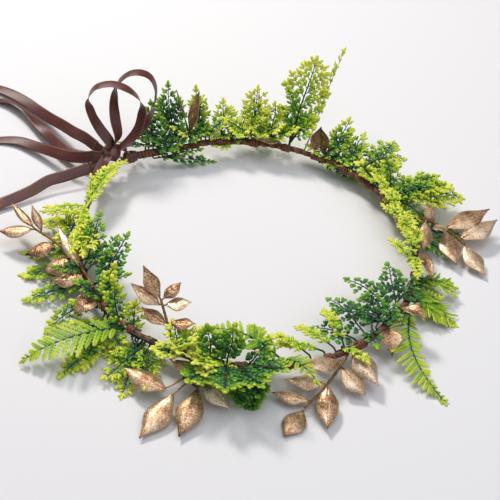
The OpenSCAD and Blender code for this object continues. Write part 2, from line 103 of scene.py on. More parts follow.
def smooth_curve(points, count):
    """count rows of values on a smooth curve through the given rows, in even shares of each gap."""
    p = np.asarray(points, float)
    p = p if p.ndim > 1 else p[:, None]
    ends = np.vstack([2 * p[0] - p[1], p, 2 * p[-1] - p[-2]])
    at = np.linspace(0, len(p) - 1, count)
    i = np.minimum(at.astype(int), len(p) - 2)
    t = (at - i)[:, None]
    a, b, c, d = ends[i], ends[i + 1], ends[i + 2], ends[i + 3]
    return b + t / 2 * (c - a + t * (2 * a - 5 * b + 4 * c - d + t * (3 * (b - c) + d - a)))


def lengths_along(path):
    """Distance along a path at each of its points."""
    steps = np.linalg.norm(np.diff(path, axis=0), axis=1)
    return np.concatenate([[0], np.cumsum(steps)])


FINE_ROWS = 24  # rows for each given one, before a curve is cut into even steps


def even_curve(points, step):
    """A smooth curve through rows that begin with a place, cut into even steps of that place."""
    fine = smooth_curve(points, FINE_ROWS * len(points))
    at = lengths_along(fine[:, :3])
    count = max(4, int(at[-1] / step) + 1)
    where = np.linspace(0, at[-1], count)
    return np.column_stack([np.interp(where, at, fine[:, k]) for k in range(fine.shape[1])])


def tangents(path):
    return unit(np.gradient(path, axis=0))


def squared(side, along):
    """Side directions brought square to the directions along."""
    return unit(side - (side * along).sum(axis=-1, keepdims=True) * along)


def carried_sides(path, first):
    """Side directions that start at first and turn with the path without twisting."""
    sides = [np.asarray(first, float)]
    for along in tangents(path):
        sides.append(squared(sides[-1], along))
    return np.array(sides[1:])


# ---------------------------------------------------------------- mesh building

class Shape:
    """Points, faces and one row of values per point, gathered for one mesh."""

    def __init__(self, *value_names):
        self.value_names = value_names
        self.points = []
        self.values = []
        self.faces = []
        self.count = 0

    def add(self, points, faces, values=None):
        points = np.asarray(points, float).reshape(-1, 3)
        if values is None:
            values = np.zeros((len(points), len(self.value_names)))
        self.points.append(points)
        self.values.append(np.asarray(values, float).reshape(len(points), -1))
        faces = np.asarray(faces, int)
        self.faces.append(np.where(faces < 0, NO_CORNER, faces + self.count))
        self.count += len(points)

    def rest_on_table(self):
        """Presses whatever hangs below the table, or all but touches it, into a thin film on it."""
        for points in self.points:
            points[:, 2] = np.maximum(points[:, 2], TABLE_FILM + 0.1 * np.minimum(points[:, 2], 0))

    def add_swept(self, rings, ends, values=None):
        """A closed tube of rings of points, rows by columns, each end capped at a point of ends."""
        rows, columns = rings.shape[:2]
        count = rows * columns
        faces = np.vstack([
            grid_faces(rows, columns, True),
            cap_faces(0, columns, count, False),
            cap_faces(count - columns, columns, count + 1, True),
        ])
        if values is not None:
            flat = np.reshape(values, (count, -1))
            values = np.vstack([flat, flat[:1], flat[-1:]])
        self.add(np.vstack([rings.reshape(-1, 3), ends]), faces, values)

    def make(self, name):
        """The Blender object. Rows of faces hold four corners, or three and NO_CORNER."""
        mesh = bpy.data.meshes.new(name)
        points = np.vstack(self.points)
        faces = np.vstack(self.faces)
        is_quad = faces[:, 3] >= 0
        sizes = np.where(is_quad, 4, 3)
        corners = faces[(np.arange(4)[None, :] < sizes[:, None])]
        mesh.vertices.add(len(points))
        mesh.vertices.foreach_set("co", points.astype(np.float32).ravel())
        mesh.loops.add(len(corners))
        mesh.loops.foreach_set("vertex_index", corners.astype(np.int32))
        mesh.polygons.add(len(faces))
        starts = np.concatenate([[0], np.cumsum(sizes)[:-1]])
        mesh.polygons.foreach_set("loop_start", starts.astype(np.int32))
        mesh.polygons.foreach_set("use_smooth", np.ones(len(faces), bool))
        mesh.update(calc_edges=True)
        mesh.validate()
        values = np.vstack(self.values)
        for k, value_name in enumerate(self.value_names):
            layer = mesh.attributes.new(value_name, "FLOAT", "POINT")
            layer.data.foreach_set("value", values[:, k].astype(np.float32))
        obj = bpy.data.objects.new(name, mesh)
        bpy.context.scene.collection.objects.link(obj)
        return obj


def grid_faces(rows, columns, closed):
    """Quads of a grid of points, row after row. closed joins the last column to the first."""
    i, j = np.meshgrid(np.arange(rows - 1), np.arange(columns if closed else columns - 1), indexing="ij")
    k = (j + 1) % columns
    quads = [i * columns + j, (i + 1) * columns + j, (i + 1) * columns + k, i * columns + k]
    return np.stack([q.ravel() for q in quads], axis=1)


def cap_faces(start, columns, centre, flip):
    """Triangles from a ring of points to a centre point."""
    j = np.arange(columns)
    ring = start + np.stack([(j + 1) % columns, j] if flip else [j, (j + 1) % columns], axis=1)
    return np.column_stack([ring, np.full(columns, centre), np.full(columns, NO_CORNER)])


def sheet_faces(rows, columns):
    """Faces of a thin sheet: its top grid, the same grid under it, and the rim that joins them."""
    i, j, count = np.arange(rows) * columns, np.arange(1, columns), rows * columns
    rim = np.concatenate([i, i[-1] + j, i[-2::-1] + columns - 1, j[-2::-1]])
    after = np.roll(rim, -1)
    quads = grid_faces(rows, columns, False)
    edge = np.column_stack([rim, after, after + count, rim + count])
    return np.vstack([quads[:, ::-1], quads + count, edge])


def value_grid(*layers):
    """One row of values for each point of a grid, from layers that fit its rows and columns."""
    return np.stack(np.broadcast_arrays(*layers), axis=-1)


def full_turn(sides):
    return np.linspace(0, TURN, sides, endpoint=False)


def circle(side, up, angles):
    """Directions round a path, ring by ring."""
    return side[:, None] * np.cos(angles)[:, None] + up[:, None] * np.sin(angles)[:, None]


def tube(shape, path, radii, sides, values=None, first=None):
    """A round closed tube along a path, with one radius and one row of values for each ring."""
    t = tangents(path)
    side = carried_sides(path, first if first is not None else np.cross(t[0], UP + 0.01))
    around = circle(side, np.cross(t, side), full_turn(sides))
    rings = path[:, None] + around * np.reshape(radii, (-1, 1, 1))
    if values is not None:
        values = np.repeat(np.reshape(values, (len(path), -1)), sides, axis=0)
    shape.add_swept(rings, path[[0, -1]], values)


def scatter(shape, template, origins, frames, scales, tones):
    """Copies of a template. frames[i] holds rows along, side and up; tones[i] is (foot, tip)."""
    points, faces, share = template
    n, m = len(origins), len(points)
    if n == 0:
        return
    local = points[None] * scales[:, None, :]
    world = np.einsum("nmk,nkj->nmj", local, frames) + origins[:, None]
    tone = tones[:, :1] + (tones[:, 1:2] - tones[:, :1]) * share[None]
    starts = (np.arange(n) * m)[:, None, None]
    all_faces = np.where(faces[None] < 0, NO_CORNER, faces[None] + starts).reshape(-1, 4)
    shape.add(world, all_faces, tone.reshape(-1, 1))


# ---------------------------------------------------------------- reading the frame

MID_STATIONS = slice(2, 5)
CUPPED = 0.3 * MM  # a blade whose edges stand higher than this over its middle is cupped


def solids_of(node):
    """The separate solids of a CAD node, as arrays of their own points."""
    mesh = NODES[node].data
    raw = np.zeros(len(mesh.vertices) * 3)
    mesh.vertices.foreach_get("co", raw)
    points, index = np.unique(np.round(raw.reshape(-1, 3), 6), axis=0, return_inverse=True)
    index = np.ravel(index)
    label = np.arange(len(points))
    edges = np.zeros(len(mesh.edges) * 2, int)
    mesh.edges.foreach_get("vertices", edges)
    edges = index[edges.reshape(-1, 2)]
    changed = True
    while changed:
        low = np.minimum(label[edges[:, 0]], label[edges[:, 1]])
        before = label.copy()
        np.minimum.at(label, edges[:, 0], low)
        np.minimum.at(label, edges[:, 1], low)
        changed = bool((label != before).any())
    return [points[label == k] for k in np.unique(label)]


def best_stations(points, corners):
    """Points sorted into stations of so many corners, along the axis that keeps them flattest."""
    middle = points.mean(axis=0)
    best, least = None, 1e9
    for axis in np.linalg.svd(points - middle)[2]:
        for _ in range(3):
            stations = points[np.argsort((points - middle) @ axis)].reshape(-1, corners, 3)
            axis = unit(stations[-1].mean(axis=0) - stations[0].mean(axis=0))
        depth = (stations @ axis).max(axis=1) - (stations @ axis).min(axis=1)
        score = depth.max() / np.linalg.norm(stations[-1].mean(axis=0) - stations[0].mean(axis=0))
        if score < least:
            best, least = stations, score
    return best


class Blade:
    """A CAD blade read back as a spine with a half width and a side direction at each station.

    Along crossed with side points into the hollow of a cupped blade, and upwards from a flat one.
    """

    def __init__(self, points):
        stations = best_stations(points, 4)
        centres, sides, halves, ups = [], [], [], []
        for s in stations:
            gaps = np.linalg.norm(s[:, None] - s[None], axis=2)
            a, b = np.unravel_index(np.argmax(gaps), gaps.shape)
            rest = [k for k in range(4) if k not in (a, b)]
            side = s[a] - s[b]
            if sides and np.dot(side, sides[-1]) < 0:
                side = -side
            centres.append(s[rest].mean(axis=0))
            sides.append(unit(side))
            halves.append(np.linalg.norm(side) / 2)
            ups.append((s[a] + s[b]) / 2 - s[rest].mean(axis=0))
        if halves[1] < halves[-2]:
            centres, sides, halves, ups = centres[::-1], sides[::-1], halves[::-1], ups[::-1]
        self.centre = np.array(centres)
        self.side = np.array(sides)
        self.half = np.array(halves)
        normal = np.cross(tangents(self.centre), self.side)
        lift = np.array(ups)[MID_STATIONS]
        normal = normal[MID_STATIONS]
        wanted = (normal * lift).sum() if np.linalg.norm(lift) > CUPPED else normal[:, 2].sum()
        if wanted < 0:
            self.side = -self.side

    def companion(self, yaw, rise, scale, shift):
        """A second sprig at the same binding: turned by yaw and raised by rise in degrees, scaled,
        and moved along the wire by shift in millimetres.
        """
        made = copy.copy(self)
        foot = self.centre[0]
        level = unit(np.cross(UP, self.centre[-1] - foot))
        raised = Matrix.Rotation(-math.radians(rise), 3, level)
        turn = np.array(Matrix.Rotation(math.radians(yaw), 3, "Z") @ raised).T
        at = nearest_on_wire(foot)
        moved = wire_point(at + shift * MM) - wire_point(at)
        made.centre = foot + moved + (self.centre - foot) @ turn * scale
        made.centre[:, 2] = np.maximum(made.centre[:, 2], LOWEST)
        made.side = self.side @ turn
        made.half = self.half * (0.35 + 0.65 * scale)
        return made


def blades_of(node):
    return [Blade(p) for p in solids_of(node)]


def stem_line(node):
    """The middle line of a gold spray's stem, from its binding outwards."""
    stations = best_stations(solids_of(node)[0], 6)
    centres = stations.mean(axis=1)
    reach = np.linalg.norm(stations - centres[:, None], axis=2).mean(axis=1)
    return centres if reach[0] > reach[-1] else centres[::-1]


def wire_point(s):
    """A point on the wire's middle line. s runs from 0 at the left eye to the end at the right eye."""
    arc = RING_R * (RIGHT_END_ANGLE - LEFT_END_ANGLE)
    past = s - END_LENGTH
    angle = LEFT_END_ANGLE + np.clip(past, 0, arc) / RING_R
    run = np.where(past < 0, past, np.maximum(past - arc, 0))
    x = RING_R * np.cos(angle) - run * np.sin(angle)
    y = RING_R * np.sin(angle) + run * np.cos(angle)
    return np.stack([x, y, np.full_like(x, RING_Z)], axis=-1)


WIRE_LENGTH = 2 * END_LENGTH + RING_R * (RIGHT_END_ANGLE - LEFT_END_ANGLE)
WIRE_PLACES = 2400
WIRE_AT = np.linspace(0, WIRE_LENGTH, WIRE_PLACES)
WIRE_LINE = wire_point(WIRE_AT)


def nearest_on_wire(point):
    """Distance along the wire of the place nearest to a point."""
    return WIRE_AT[np.argmin(np.linalg.norm(WIRE_LINE - point, axis=1))]


def off_wire(point, distance):
    """The place at a distance from the wire's middle line, straight towards a point."""
    foot = wire_point(nearest_on_wire(point))
    return foot + unit(point - foot) * distance


# ---------------------------------------------------------------- materials

def linear(hex_colour):
    """A colour such as #8a4f48 in linear light, with alpha 1."""
    parts = [int(hex_colour[k:k + 2], 16) / 255 for k in (1, 3, 5)]
    return [c / 12.92 if c <= 0.04045 else ((c + 0.055) / 1.055) ** 2.4 for c in parts] + [1.0]


class Surface:
    """A Principled material with helpers that add and join nodes."""

    def __init__(self, name, roughness, metallic=0.0, **sockets):
        self.material = bpy.data.materials.new(name)
        self.material.use_nodes = True
        self.tree = self.material.node_tree
        self.shader = self.tree.nodes["Principled BSDF"]
        self.shader.inputs["Roughness"].default_value = roughness
        self.shader.inputs["Metallic"].default_value = metallic
        for socket, value in sockets.items():
            self.shader.inputs[socket.replace("_", " ")].default_value = value

    def node(self, kind, **settings):
        made = self.tree.nodes.new(kind)
        for key, value in settings.items():
            setattr(made, key, value)
        return made

    def join(self, out, into):
        self.tree.links.new(out, into)

    def value(self, name):
        """A mesh's own value, by its name."""
        return self.node("ShaderNodeAttribute", attribute_name=name).outputs["Fac"]

    def place(self):
        """The place on the object in millimetres."""
        mapping = self.node("ShaderNodeMapping")
        mapping.inputs["Scale"].default_value = [1 / MM] * 3
        self.join(self.node("ShaderNodeTexCoord").outputs["Object"], mapping.inputs["Vector"])
        return mapping.outputs["Vector"]

    def noise(self, vector, scale, detail=3.0, roughness=0.55):
        made = self.node("ShaderNodeTexNoise")
        made.inputs["Scale"].default_value = scale
        made.inputs["Detail"].default_value = detail
        made.inputs["Roughness"].default_value = roughness
        self.join(vector, made.inputs["Vector"])
        return made.outputs["Fac"]

    def stretched(self, along, across):
        """A flat place from the mesh's own values along and across, each scaled."""
        made = self.node("ShaderNodeCombineXYZ")
        for socket, name, scale in (("X", "along", along), ("Y", "across", across)):
            self.join(self.math("MULTIPLY", self.value(name), scale), made.inputs[socket])
        return made.outputs["Vector"]

    def math(self, operation, a, b=0.0, c=0.0):
        made = self.node("ShaderNodeMath", operation=operation)
        for k, source in enumerate((a, b, c)):
            if isinstance(source, (int, float)):
                made.inputs[k].default_value = source
            else:
                self.join(source, made.inputs[k])
        return made.outputs["Value"]

    def total(self, less, *parts):
        """The weighted sum of (source, weight) parts, less a fixed amount."""
        made = -less
        for source, weight in parts:
            made = self.math("MULTIPLY_ADD", source, weight, made)
        return made

    def ramp(self, factor, stops):
        """Colours by factor. stops is a list of (place, colour)."""
        made = self.node("ShaderNodeValToRGB")
        elements = made.color_ramp.elements
        while len(elements) < len(stops):
            elements.new(0.5)
        for element, (at, colour) in zip(elements, stops):
            element.position = at
            element.color = linear(colour)
        self.join(factor, made.inputs["Fac"])
        return made.outputs["Color"]

    def colour(self, source, edge=0.0, edge_colour="#ffffff"):
        """The base colour: source, mixed by the share edge with edge_colour along the mesh's edges."""
        if edge:
            made = self.node("ShaderNodeMix", data_type="RGBA")
            self.join(self.math("MULTIPLY", self.value("edge"), edge), made.inputs["Factor"])
            self.join(source, made.inputs[6])
            made.inputs[7].default_value = linear(edge_colour)
            source = made.outputs[2]
        self.join(source, self.shader.inputs["Base Color"])

    def rough(self, source, low, high):
        span = self.node("ShaderNodeMapRange")
        span.inputs["To Min"].default_value = low
        span.inputs["To Max"].default_value = high
        self.join(source, span.inputs["Value"])
        self.join(span.outputs["Result"], self.shader.inputs["Roughness"])

    def bump(self, height, depth_mm, strength=1.0):
        made = self.node("ShaderNodeBump")
        made.inputs["Strength"].default_value = strength
        made.inputs["Distance"].default_value = depth_mm * MM
        self.join(height, made.inputs["Height"])
        last = self.shader.inputs["Normal"]
        if last.is_linked:
            self.join(last.links[0].from_socket, made.inputs["Normal"])
        self.join(made.outputs["Normal"], last)


def fern_material():
    """Moulded plastic fern: dark stems, green lobes and lime tips, uneven in the dye; the dark feet are
    partly the plastic's own colour and partly painted shade inside the foliage.
    """
    s = Surface("fern_plastic", 0.42, Specular_IOR_Level=0.45)
    where = s.place()
    fine = s.noise(where, 2.2, 4.0)
    tone = s.total(0.22, (s.value("tone"), 1), (s.noise(where, 0.35, 2.0), 0.30), (fine, 0.14))
    s.colour(s.ramp(tone, [
        (0.0, "#0d3523"), (0.2, "#18532b"), (0.42, "#42892a"),
        (0.62, "#8fb926"), (0.82, "#c8da2e"), (1.0, "#ebef62"),
    ]))
    s.rough(fine, 0.34, 0.56)
    s.bump(s.noise(where, 1.1, 3.0), 0.12)
    return s.material


def gold_material():
    """Antique gold leaf: a metallic coat, darker in the grain, with fine specks and worn pale edges."""
    s = Surface("antique_gold", 0.38, 0.72)
    where = s.place()
    grain = s.noise(s.stretched(0.12, 1.6), 1.6, 4.0, 0.6)
    specks = s.noise(where, 1.15, 5.0, 0.8)
    clouds = s.noise(where, 0.13, 2.0)
    tone = s.total(1.5, (s.value("tone"), 1), (clouds, 0.8), (specks, 1.9), (grain, 0.35))
    s.colour(s.ramp(tone, [
        (0.0, "#33221a"), (0.2, "#735038"), (0.42, "#b48a66"), (0.64, "#e0c19e"), (0.92, "#fdf0e0"),
    ]), 0.5, "#efd9b4")
    s.rough(specks, 0.44, 0.24)
    s.bump(grain, 0.10)
    s.bump(specks, 0.16, 0.7)
    return s.material


def gold_stem_material():
    """The gold sprays' stems and leaf stalks: brown gold, streaked along their length."""
    s = Surface("gold_stem", 0.45, 0.55)
    streaks = s.noise(s.place(), 1.2, 4.0)
    s.colour(s.ramp(streaks, [(0.25, "#3d2a18"), (0.5, "#7a5630"), (0.75, "#b98c58")]))
    s.rough(streaks, 0.35, 0.6)
    s.bump(streaks, 0.15)
    return s.material


def tape_material():
    """Crinkled brown floral tape: paper with a waxy sheen, with painted shade in the folds between its
    turns and a painted highlight on their ridges.
    """
    s = Surface("paper_tape", 0.55, Specular_IOR_Level=0.4)
    creases = s.noise(s.stretched(1.8, 0.35), 1.4, 4.0, 0.65)
    blotches = s.noise(s.place(), 0.3, 3.0)
    # the ridge value paints a highlight on each turn's ridge and shade in the fold before the next turn
    tone = s.total(0.2, (s.value("ridge"), 0.45), (creases, 0.45), (blotches, 0.4))
    s.colour(s.ramp(tone, [
        (0.0, "#241410"), (0.3, "#4e2c20"), (0.55, "#7d4a34"), (0.8, "#a8714f"), (1.0, "#cf9a72"),
    ]))
    s.rough(creases, 0.38, 0.7)
    s.bump(creases, 0.16)
    return s.material


def satin_material():
    """Narrow satin ribbon: long floats in the warp, a firm selvedge, and a soft pink sheen."""
    s = Surface("brown_satin", 0.36, Specular_IOR_Level=0.55, Sheen_Weight=0.35, Sheen_Roughness=0.35,
                Anisotropic=0.5)
    s.shader.inputs["Sheen Tint"].default_value = linear("#e0a8a0")
    floats = s.noise(s.stretched(0.18, 5.0), 2.2, 3.0, 0.6)
    weft = s.math("SINE", s.math("MULTIPLY", s.value("along"), TURN / 0.45))
    patches = s.noise(s.stretched(0.12, 1.0), 0.5, 2.0)
    tone = s.total(0, (patches, 0.5), (floats, 0.5))
    s.colour(s.ramp(tone, [(0.25, "#3c1d18"), (0.5, "#5a302a"), (0.75, "#7c4740")]), 0.45, "#8d5a50")
    s.rough(floats, 0.3, 0.46)
    s.bump(floats, 0.05)
    s.bump(weft, 0.012, 0.5)
    return s.material


def wire_material():
    """Annealed wire, dull brown black with bright rubbed spots."""
    s = Surface("bare_wire", 0.5, 0.8)
    rubbed = s.noise(s.place(), 0.8, 4.0)
    s.colour(s.ramp(rubbed, [(0.3, "#241a16"), (0.6, "#4a3a32"), (0.8, "#8a7a6c")]))
    s.rough(rubbed, 0.35, 0.65)
    s.bump(rubbed, 0.05)
    return s.material


FERN = fern_material()
GOLD = gold_material()
GOLD_STEM = gold_stem_material()
TAPE = tape_material()
SATIN = satin_material()
WIRE = wire_material()


def place_piece(obj, material, node):
    """Gives a piece its material and the body of the CAD node that it stands for, and hides that node."""
    obj.data.materials.append(material)
    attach(obj, BODY_OF[node])
    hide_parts(node)


# ---------------------------------------------------------------- camera

CAMERA_TARGET = np.array([1.6, 5.5, 0.0]) * MM
CAMERA_ELEVATION = math.radians(41.4)
CAMERA_ROLL = math.radians(6.4)
CAMERA_DISTANCE = 680 * MM


def add_camera():
    """The camera looks along +Y and down, with a small roll."""
    ahead = np.array([0, math.cos(CAMERA_ELEVATION), -math.sin(CAMERA_ELEVATION)])
    right = np.array([1.0, 0, 0])
    above = np.cross(right, ahead)
    c, s = math.cos(CAMERA_ROLL), math.sin(CAMERA_ROLL)
    x, y = c * right + s * above, c * above - s * right
    data = bpy.data.cameras.new("camera")
    data.lens = 85
    data.sensor_width = 36
    data.clip_start = 0.01
    camera = bpy.data.objects.new("camera", data)
    place = CAMERA_TARGET - CAMERA_DISTANCE * ahead
    rows = np.column_stack([x, y, -ahead])
    camera.matrix_world = Matrix.Translation(Vector(place)) @ Matrix(rows.tolist()).to_4x4()
    bpy.context.scene.collection.objects.link(camera)
    bpy.context.scene.camera = camera


add_camera()


# ---------------------------------------------------------------- ribbons

# Bow loops, in millimetres: (x, y, z, then the level direction that the ribbon's width lies in)
BOW_LOOPS = {
    "bow_loop_left": [
        (-87.5, 61, 20.5, 0, 1), (-90, 63, 24, 1, 1), (-96, 66, 30, 1, 1), (-101, 69, 37, 1, 2),
        (-104, 75, 43, 0, 1), (-101, 81, 48, 0, 1), (-92, 84, 50, 0, 1), (-82, 82, 49, 0, 1),
        (-75, 81, 44, -1, 3), (-72, 76, 38, -1, 1), (-73, 70, 31, -1, 1), (-77, 65, 25, -1, 1),
        (-83.5, 60, 20, 0, 1),
    ],
    "bow_loop_right": [
        (-86, 63, 20.5, 0, 1), (-85, 67, 26, 1, 2), (-88, 75, 32, 1, 1), (-90, 83, 39, 1, 2),
        (-89, 90, 46, 0, 1), (-84, 94, 51, 0, 1), (-77, 95, 53, 0, 1), (-70, 96, 50, 0, 1),
        (-66, 92, 44, 0, 1), (-66, 85, 37, 0, 1), (-69, 79, 30, -1, 2), (-74, 72, 25, -1, 1),
        (-81.5, 64.5, 20, 0, 1),
    ],
}

# Ribbon tails, in millimetres: (x, y, z, roll about the route in degrees). Roll 0 lies flat.
TAILS = {
    "ribbon_tail_1": [
        (-98, 66, 16, -60), (-106, 73, 16, -55), (-115, 82, 13, -50), (-124, 92, 10, -45),
        (-134, 102, 7, -40), (-144, 112, 5, -30), (-155, 122, 4, -20), (-168, 131, 3, -10),
        (-182, 136, 2, 0), (-196, 134, 1, 0), (-208, 126, 1, 0), (-216, 114, 1, 0),
        (-220, 99, 1, 0), (-221, 84, 1, 0), (-220, 69, 1, 0), (-218, 54, 1, 0), (-217, 40, 1, 0),
    ],
    "ribbon_tail_2": [
        (-97, 62, 10, -30), (-105, 64, 9, -30), (-114, 67, 8, -30), (-123, 75, 7, -30),
        (-132, 86, 6, -25), (-142, 99, 5, 10), (-153, 111, 5, 40), (-165, 120, 3, 20),
        (-179, 122, 1, 0), (-192, 115, 1, 0), (-201, 103, 1, 0), (-206, 88, 1, 0), (-207, 73, 1, 0),
        (-205, 58, 1, 0), (-202, 43, 1, 0), (-199, 29, 1, 0),
    ],
    "ribbon_tail_3": [
        (-97, 56.5, 16, -60), (-106, 56, 14, -55), (-116, 60, 11, -45), (-127, 67, 8, -35),
        (-138, 74, 5, -25), (-150, 80, 3, -10), (-164, 80, 1, 0), (-177, 73, 1, 0),
        (-186, 61, 1, 0), (-191, 46, 1, 0), (-191, 31, 1, 0), (-188, 16, 1, 0), (-183, 2, 1, 0),
        (-177, -12, 1, 0), (-172, -26, 1, 0),
    ],
    "ribbon_tail_4": [
        (-99, 53, 9.5, -40), (-106, 49, 8.5, -40), (-114, 44, 7.5, -40), (-122, 39, 7, -35),
        (-130, 31, 5, -30), (-139, 23, 4, -25), (-150, 15, 3, -10), (-162, 6, 1, 0),
        (-169, -7, 1, 0), (-165, -21, 1, 0), (-158, -34, 1, 0), (-153, -48, 1, 0),
        (-151, -63, 1, 0), (-153, -78, 1, 0), (-158, -92, 1, 0),
    ],
}

RIBBON_STEP = 1 * MM
RIBBON_COLUMNS = 11
RIBBON_VALUES = ("along", "across", "edge")
WEB = 0.13 * MM  # half the ribbon's thickness between its selvedges
SELVEDGE = 0.12 * MM  # how much each selvedge adds to it
FOLD = 0.35 * MM  # height of the folds where the ribbon is gathered
FRAY = 0.15 * MM


def ribbon_section(width):
    """Once round the ribbon, as rows across, up and edge: a thin web with two rounded selvedges."""
    across = np.linspace(-1, 1, RIBBON_COLUMNS)
    near_edge = np.clip((np.abs(across) - 0.82) / 0.18, 0, 1)
    thick = WEB + SELVEDGE * np.sin(near_edge * math.pi)
    thick[[0, -1]] = 0.06 * MM
    dome = 0.12 * MM * (1 - across ** 2)
    top = np.stack([across * width / 2, dome + thick, near_edge])
    under = np.stack([across * width / 2, dome - thick, near_edge])
    return np.hstack([top, under[:, ::-1]])


def strip(shape, path, wide, width, fray=0.0, shares=1.0):
    """A ribbon swept along a path with its width along wide, gathered to shares of that width."""
    t = tangents(path)
    wide = squared(wide, t)
    across, above, edge = ribbon_section(width)
    shares = np.broadcast_to(shares, len(path))[:, None]
    above = above + FOLD * (1 - shares) * np.sin(across / width * 2 * TURN)
    rings = path[:, None] + wide[:, None] * (across * shares)[:, :, None]
    rings = rings + np.cross(t, wide)[:, None] * above[:, :, None]
    rings[-1] += t[-1] * (fray * np.sin(across / MM * 5.0))[:, None]
    run = lengths_along(path)[:, None]
    shape.add_swept(rings, rings[[0, -1]].mean(axis=1), value_grid(run / MM, across / MM, edge))


def route_curve(route):
    """Even places along a route, in metres, and the other columns of its rows."""
    rows = np.array(route, float)
    rows[:, :3] *= MM
    curve = even_curve(rows, RIBBON_STEP)
    return curve[:, :3], curve[:, 3:]


def tail_sides(path, rolls):
    """Width directions of a tail: level, turned by the roll about the route."""
    t = tangents(path)
    left = unit(np.cross(UP, t))
    return np.cos(np.radians(rolls)) * left + np.sin(np.radians(rolls)) * np.cross(t, left)


def declare_ribbon(name, path, wide, fray=0.0):
    """One strand of the ribbon: its piece, put in place of its CAD node."""
    shape = Shape(*RIBBON_VALUES)
    strip(shape, path, wide, RIBBON_WIDTH, fray)
    piece = shape.make(name + "_satin")
    place_piece(piece, SATIN, name)


def add_strands():
    for name, route in BOW_LOOPS.items():
        path, level = route_curve(route)
        declare_ribbon(name, path, unit(np.pad(level, ((0, 0), (0, 1)))))
    for name, route in TAILS.items():
        path, rolls = route_curve(route)
        declare_ribbon(name, path, tail_sides(path, rolls), FRAY)


add_strands()


# ---------------------------------------------------------------- wire, tape and knot

# ridge carries the tape's painted light: a highlight on the ridges of its turns and shade in the folds
# between them
TAPE_VALUES = ("along", "across", "ridge")
TAPE_STEP = 0.35 * MM
TAPE_SIDES = 28
TAPE_SEED = 11

# How a tape is wound, in millimetres: (pitch of its turns, height of their ridges, lumps)
RING_WRAP = (5.5, 0.34, 0.14)
TIE_WRAP = (2.1, 0.75, 0.4)
BAND_WRAP = (1.7, 0.5, 0.3)


def wrapped_tube(shape, start, end, radius, wrap, rng, taper=0.0):
    """Tape wound round the wire from start to end: a saw-tooth ridge that runs round it as a helix."""
    pitch, ridge, lumps = np.array(wrap) * MM
    s = np.arange(start, end + TAPE_STEP / 2, TAPE_STEP)[:, None]
    angles = full_turn(TAPE_SIDES)
    turn = s / pitch + angles / TURN
    phase = turn - np.floor(turn)
    height = np.clip(phase * 1.12, 0, 1) * np.clip((1 - phase) * 12, 0, 1)
    wind = np.floor(turn).astype(int)
    uneven = rng.uniform(-1, 1, wind.max() - wind.min() + 1)[wind - wind.min()]
    waves = np.sin(s / MM * 1.9 + angles * 2) * np.sin(angles * 3 + s / MM * 0.7)
    radii = radius + ridge * (height - 0.6) + lumps * (0.5 * uneven * height + 0.6 * waves)
    if taper:
        near_end = np.minimum(s - start, end - s) / taper
        radii = radii * (1 - 0.25 * np.clip(1 - near_end, 0, 1) ** 2)
    path = wire_point(s[:, 0])
    around = circle(np.cross(tangents(path), UP), UP[None], angles)
    rings = path[:, None] + around * radii[:, :, None]
    # the ridge value is the tape's height over each turn, painted by the tape material as highlight on
    # the ridges and shade between turns
    shape.add_swept(rings, path[[0, -1]], value_grid(s / MM, angles * radius / MM, height))


def add_tape():
    """The paper tape along the ring, the thick taping by the bow, and the bindings of the sprigs."""
    rng = np.random.default_rng(TAPE_SEED)
    first, last = END_LENGTH - TIE_TAPE_AT, WIRE_LENGTH - END_LENGTH + TIE_TAPE_AT
    for node, start, end, radius, wrap, taper in (
            ("tape_wrap", first, last, TAPE_R, RING_WRAP, 0.0),
            ("tie_tape_left", 1 * MM, first, TIE_TAPE_R, TIE_WRAP, 4 * MM),
            ("tie_tape_right", last, WIRE_LENGTH - 1 * MM, TIE_TAPE_R, TIE_WRAP, 4 * MM)):
        shape = Shape(*TAPE_VALUES)
        wrapped_tube(shape, start, end, radius, wrap, rng, taper)
        place_piece(shape.make(node + "_paper"), TAPE, node)

    shape = Shape(*TAPE_VALUES)
    for solid in solids_of("binding_bands"):
        at = nearest_on_wire((solid.min(axis=0) + solid.max(axis=0)) / 2)
        half = rng.uniform(2.4, 3.6) * MM
        wrapped_tube(shape, at - half, at + half, BAND_R - 0.1 * MM, BAND_WRAP, rng, 1.6 * MM)
    place_piece(shape.make("binding_tape"), TAPE, "binding_bands")
    NODES["wire_core"].data.materials.clear()
    NODES["wire_core"].data.materials.append(WIRE)


def wound_ribbon(shape, centre, axis, radii, length, turns, width, cone):
    """Ribbon wound round an axis. Its radii across the axis, length and width are in millimetres."""
    axis = unit(axis)
    first = squared(UP, axis)
    angle = np.linspace(0, turns * TURN, int(turns * 40))[:, None]
    run = np.linspace(-length / 2, length / 2, len(angle))[:, None]
    swell = 1 + cone * np.sin(angle * 0.61)
    across = radii[0] * np.cos(angle) * first + radii[1] * np.sin(angle) * np.cross(axis, first)
    path = centre + (run * axis + swell * across) * MM
    wide = axis + 0.35 * np.sin(angle * 0.5 + 1) * tangents(path)
    strip(shape, path, wide, width * MM)


def add_hitches():
    """The ribbon wound round each end of the wire."""
    for side, near, sign in (("right", WIRE_LENGTH, -1), ("left", 0.0, 1)):
        node = "ribbon_hitch_" + side
        middle = wire_point(near + sign * (HITCH_LENGTH / 2 + 1.4 * MM))
        axis = wire_point(near + sign * 3 * MM) - wire_point(near)
        shape = Shape(*RIBBON_VALUES)
        wound_ribbon(shape, middle, axis, (3.5, 3.5), 4.2, 3.3, 3.6, 0.06)
        wound_ribbon(shape, middle, axis, (3.0, 3.0), 4.6, 2.2, 5.0, 0.04)
        place_piece(shape.make(node + "_satin"), SATIN, node)


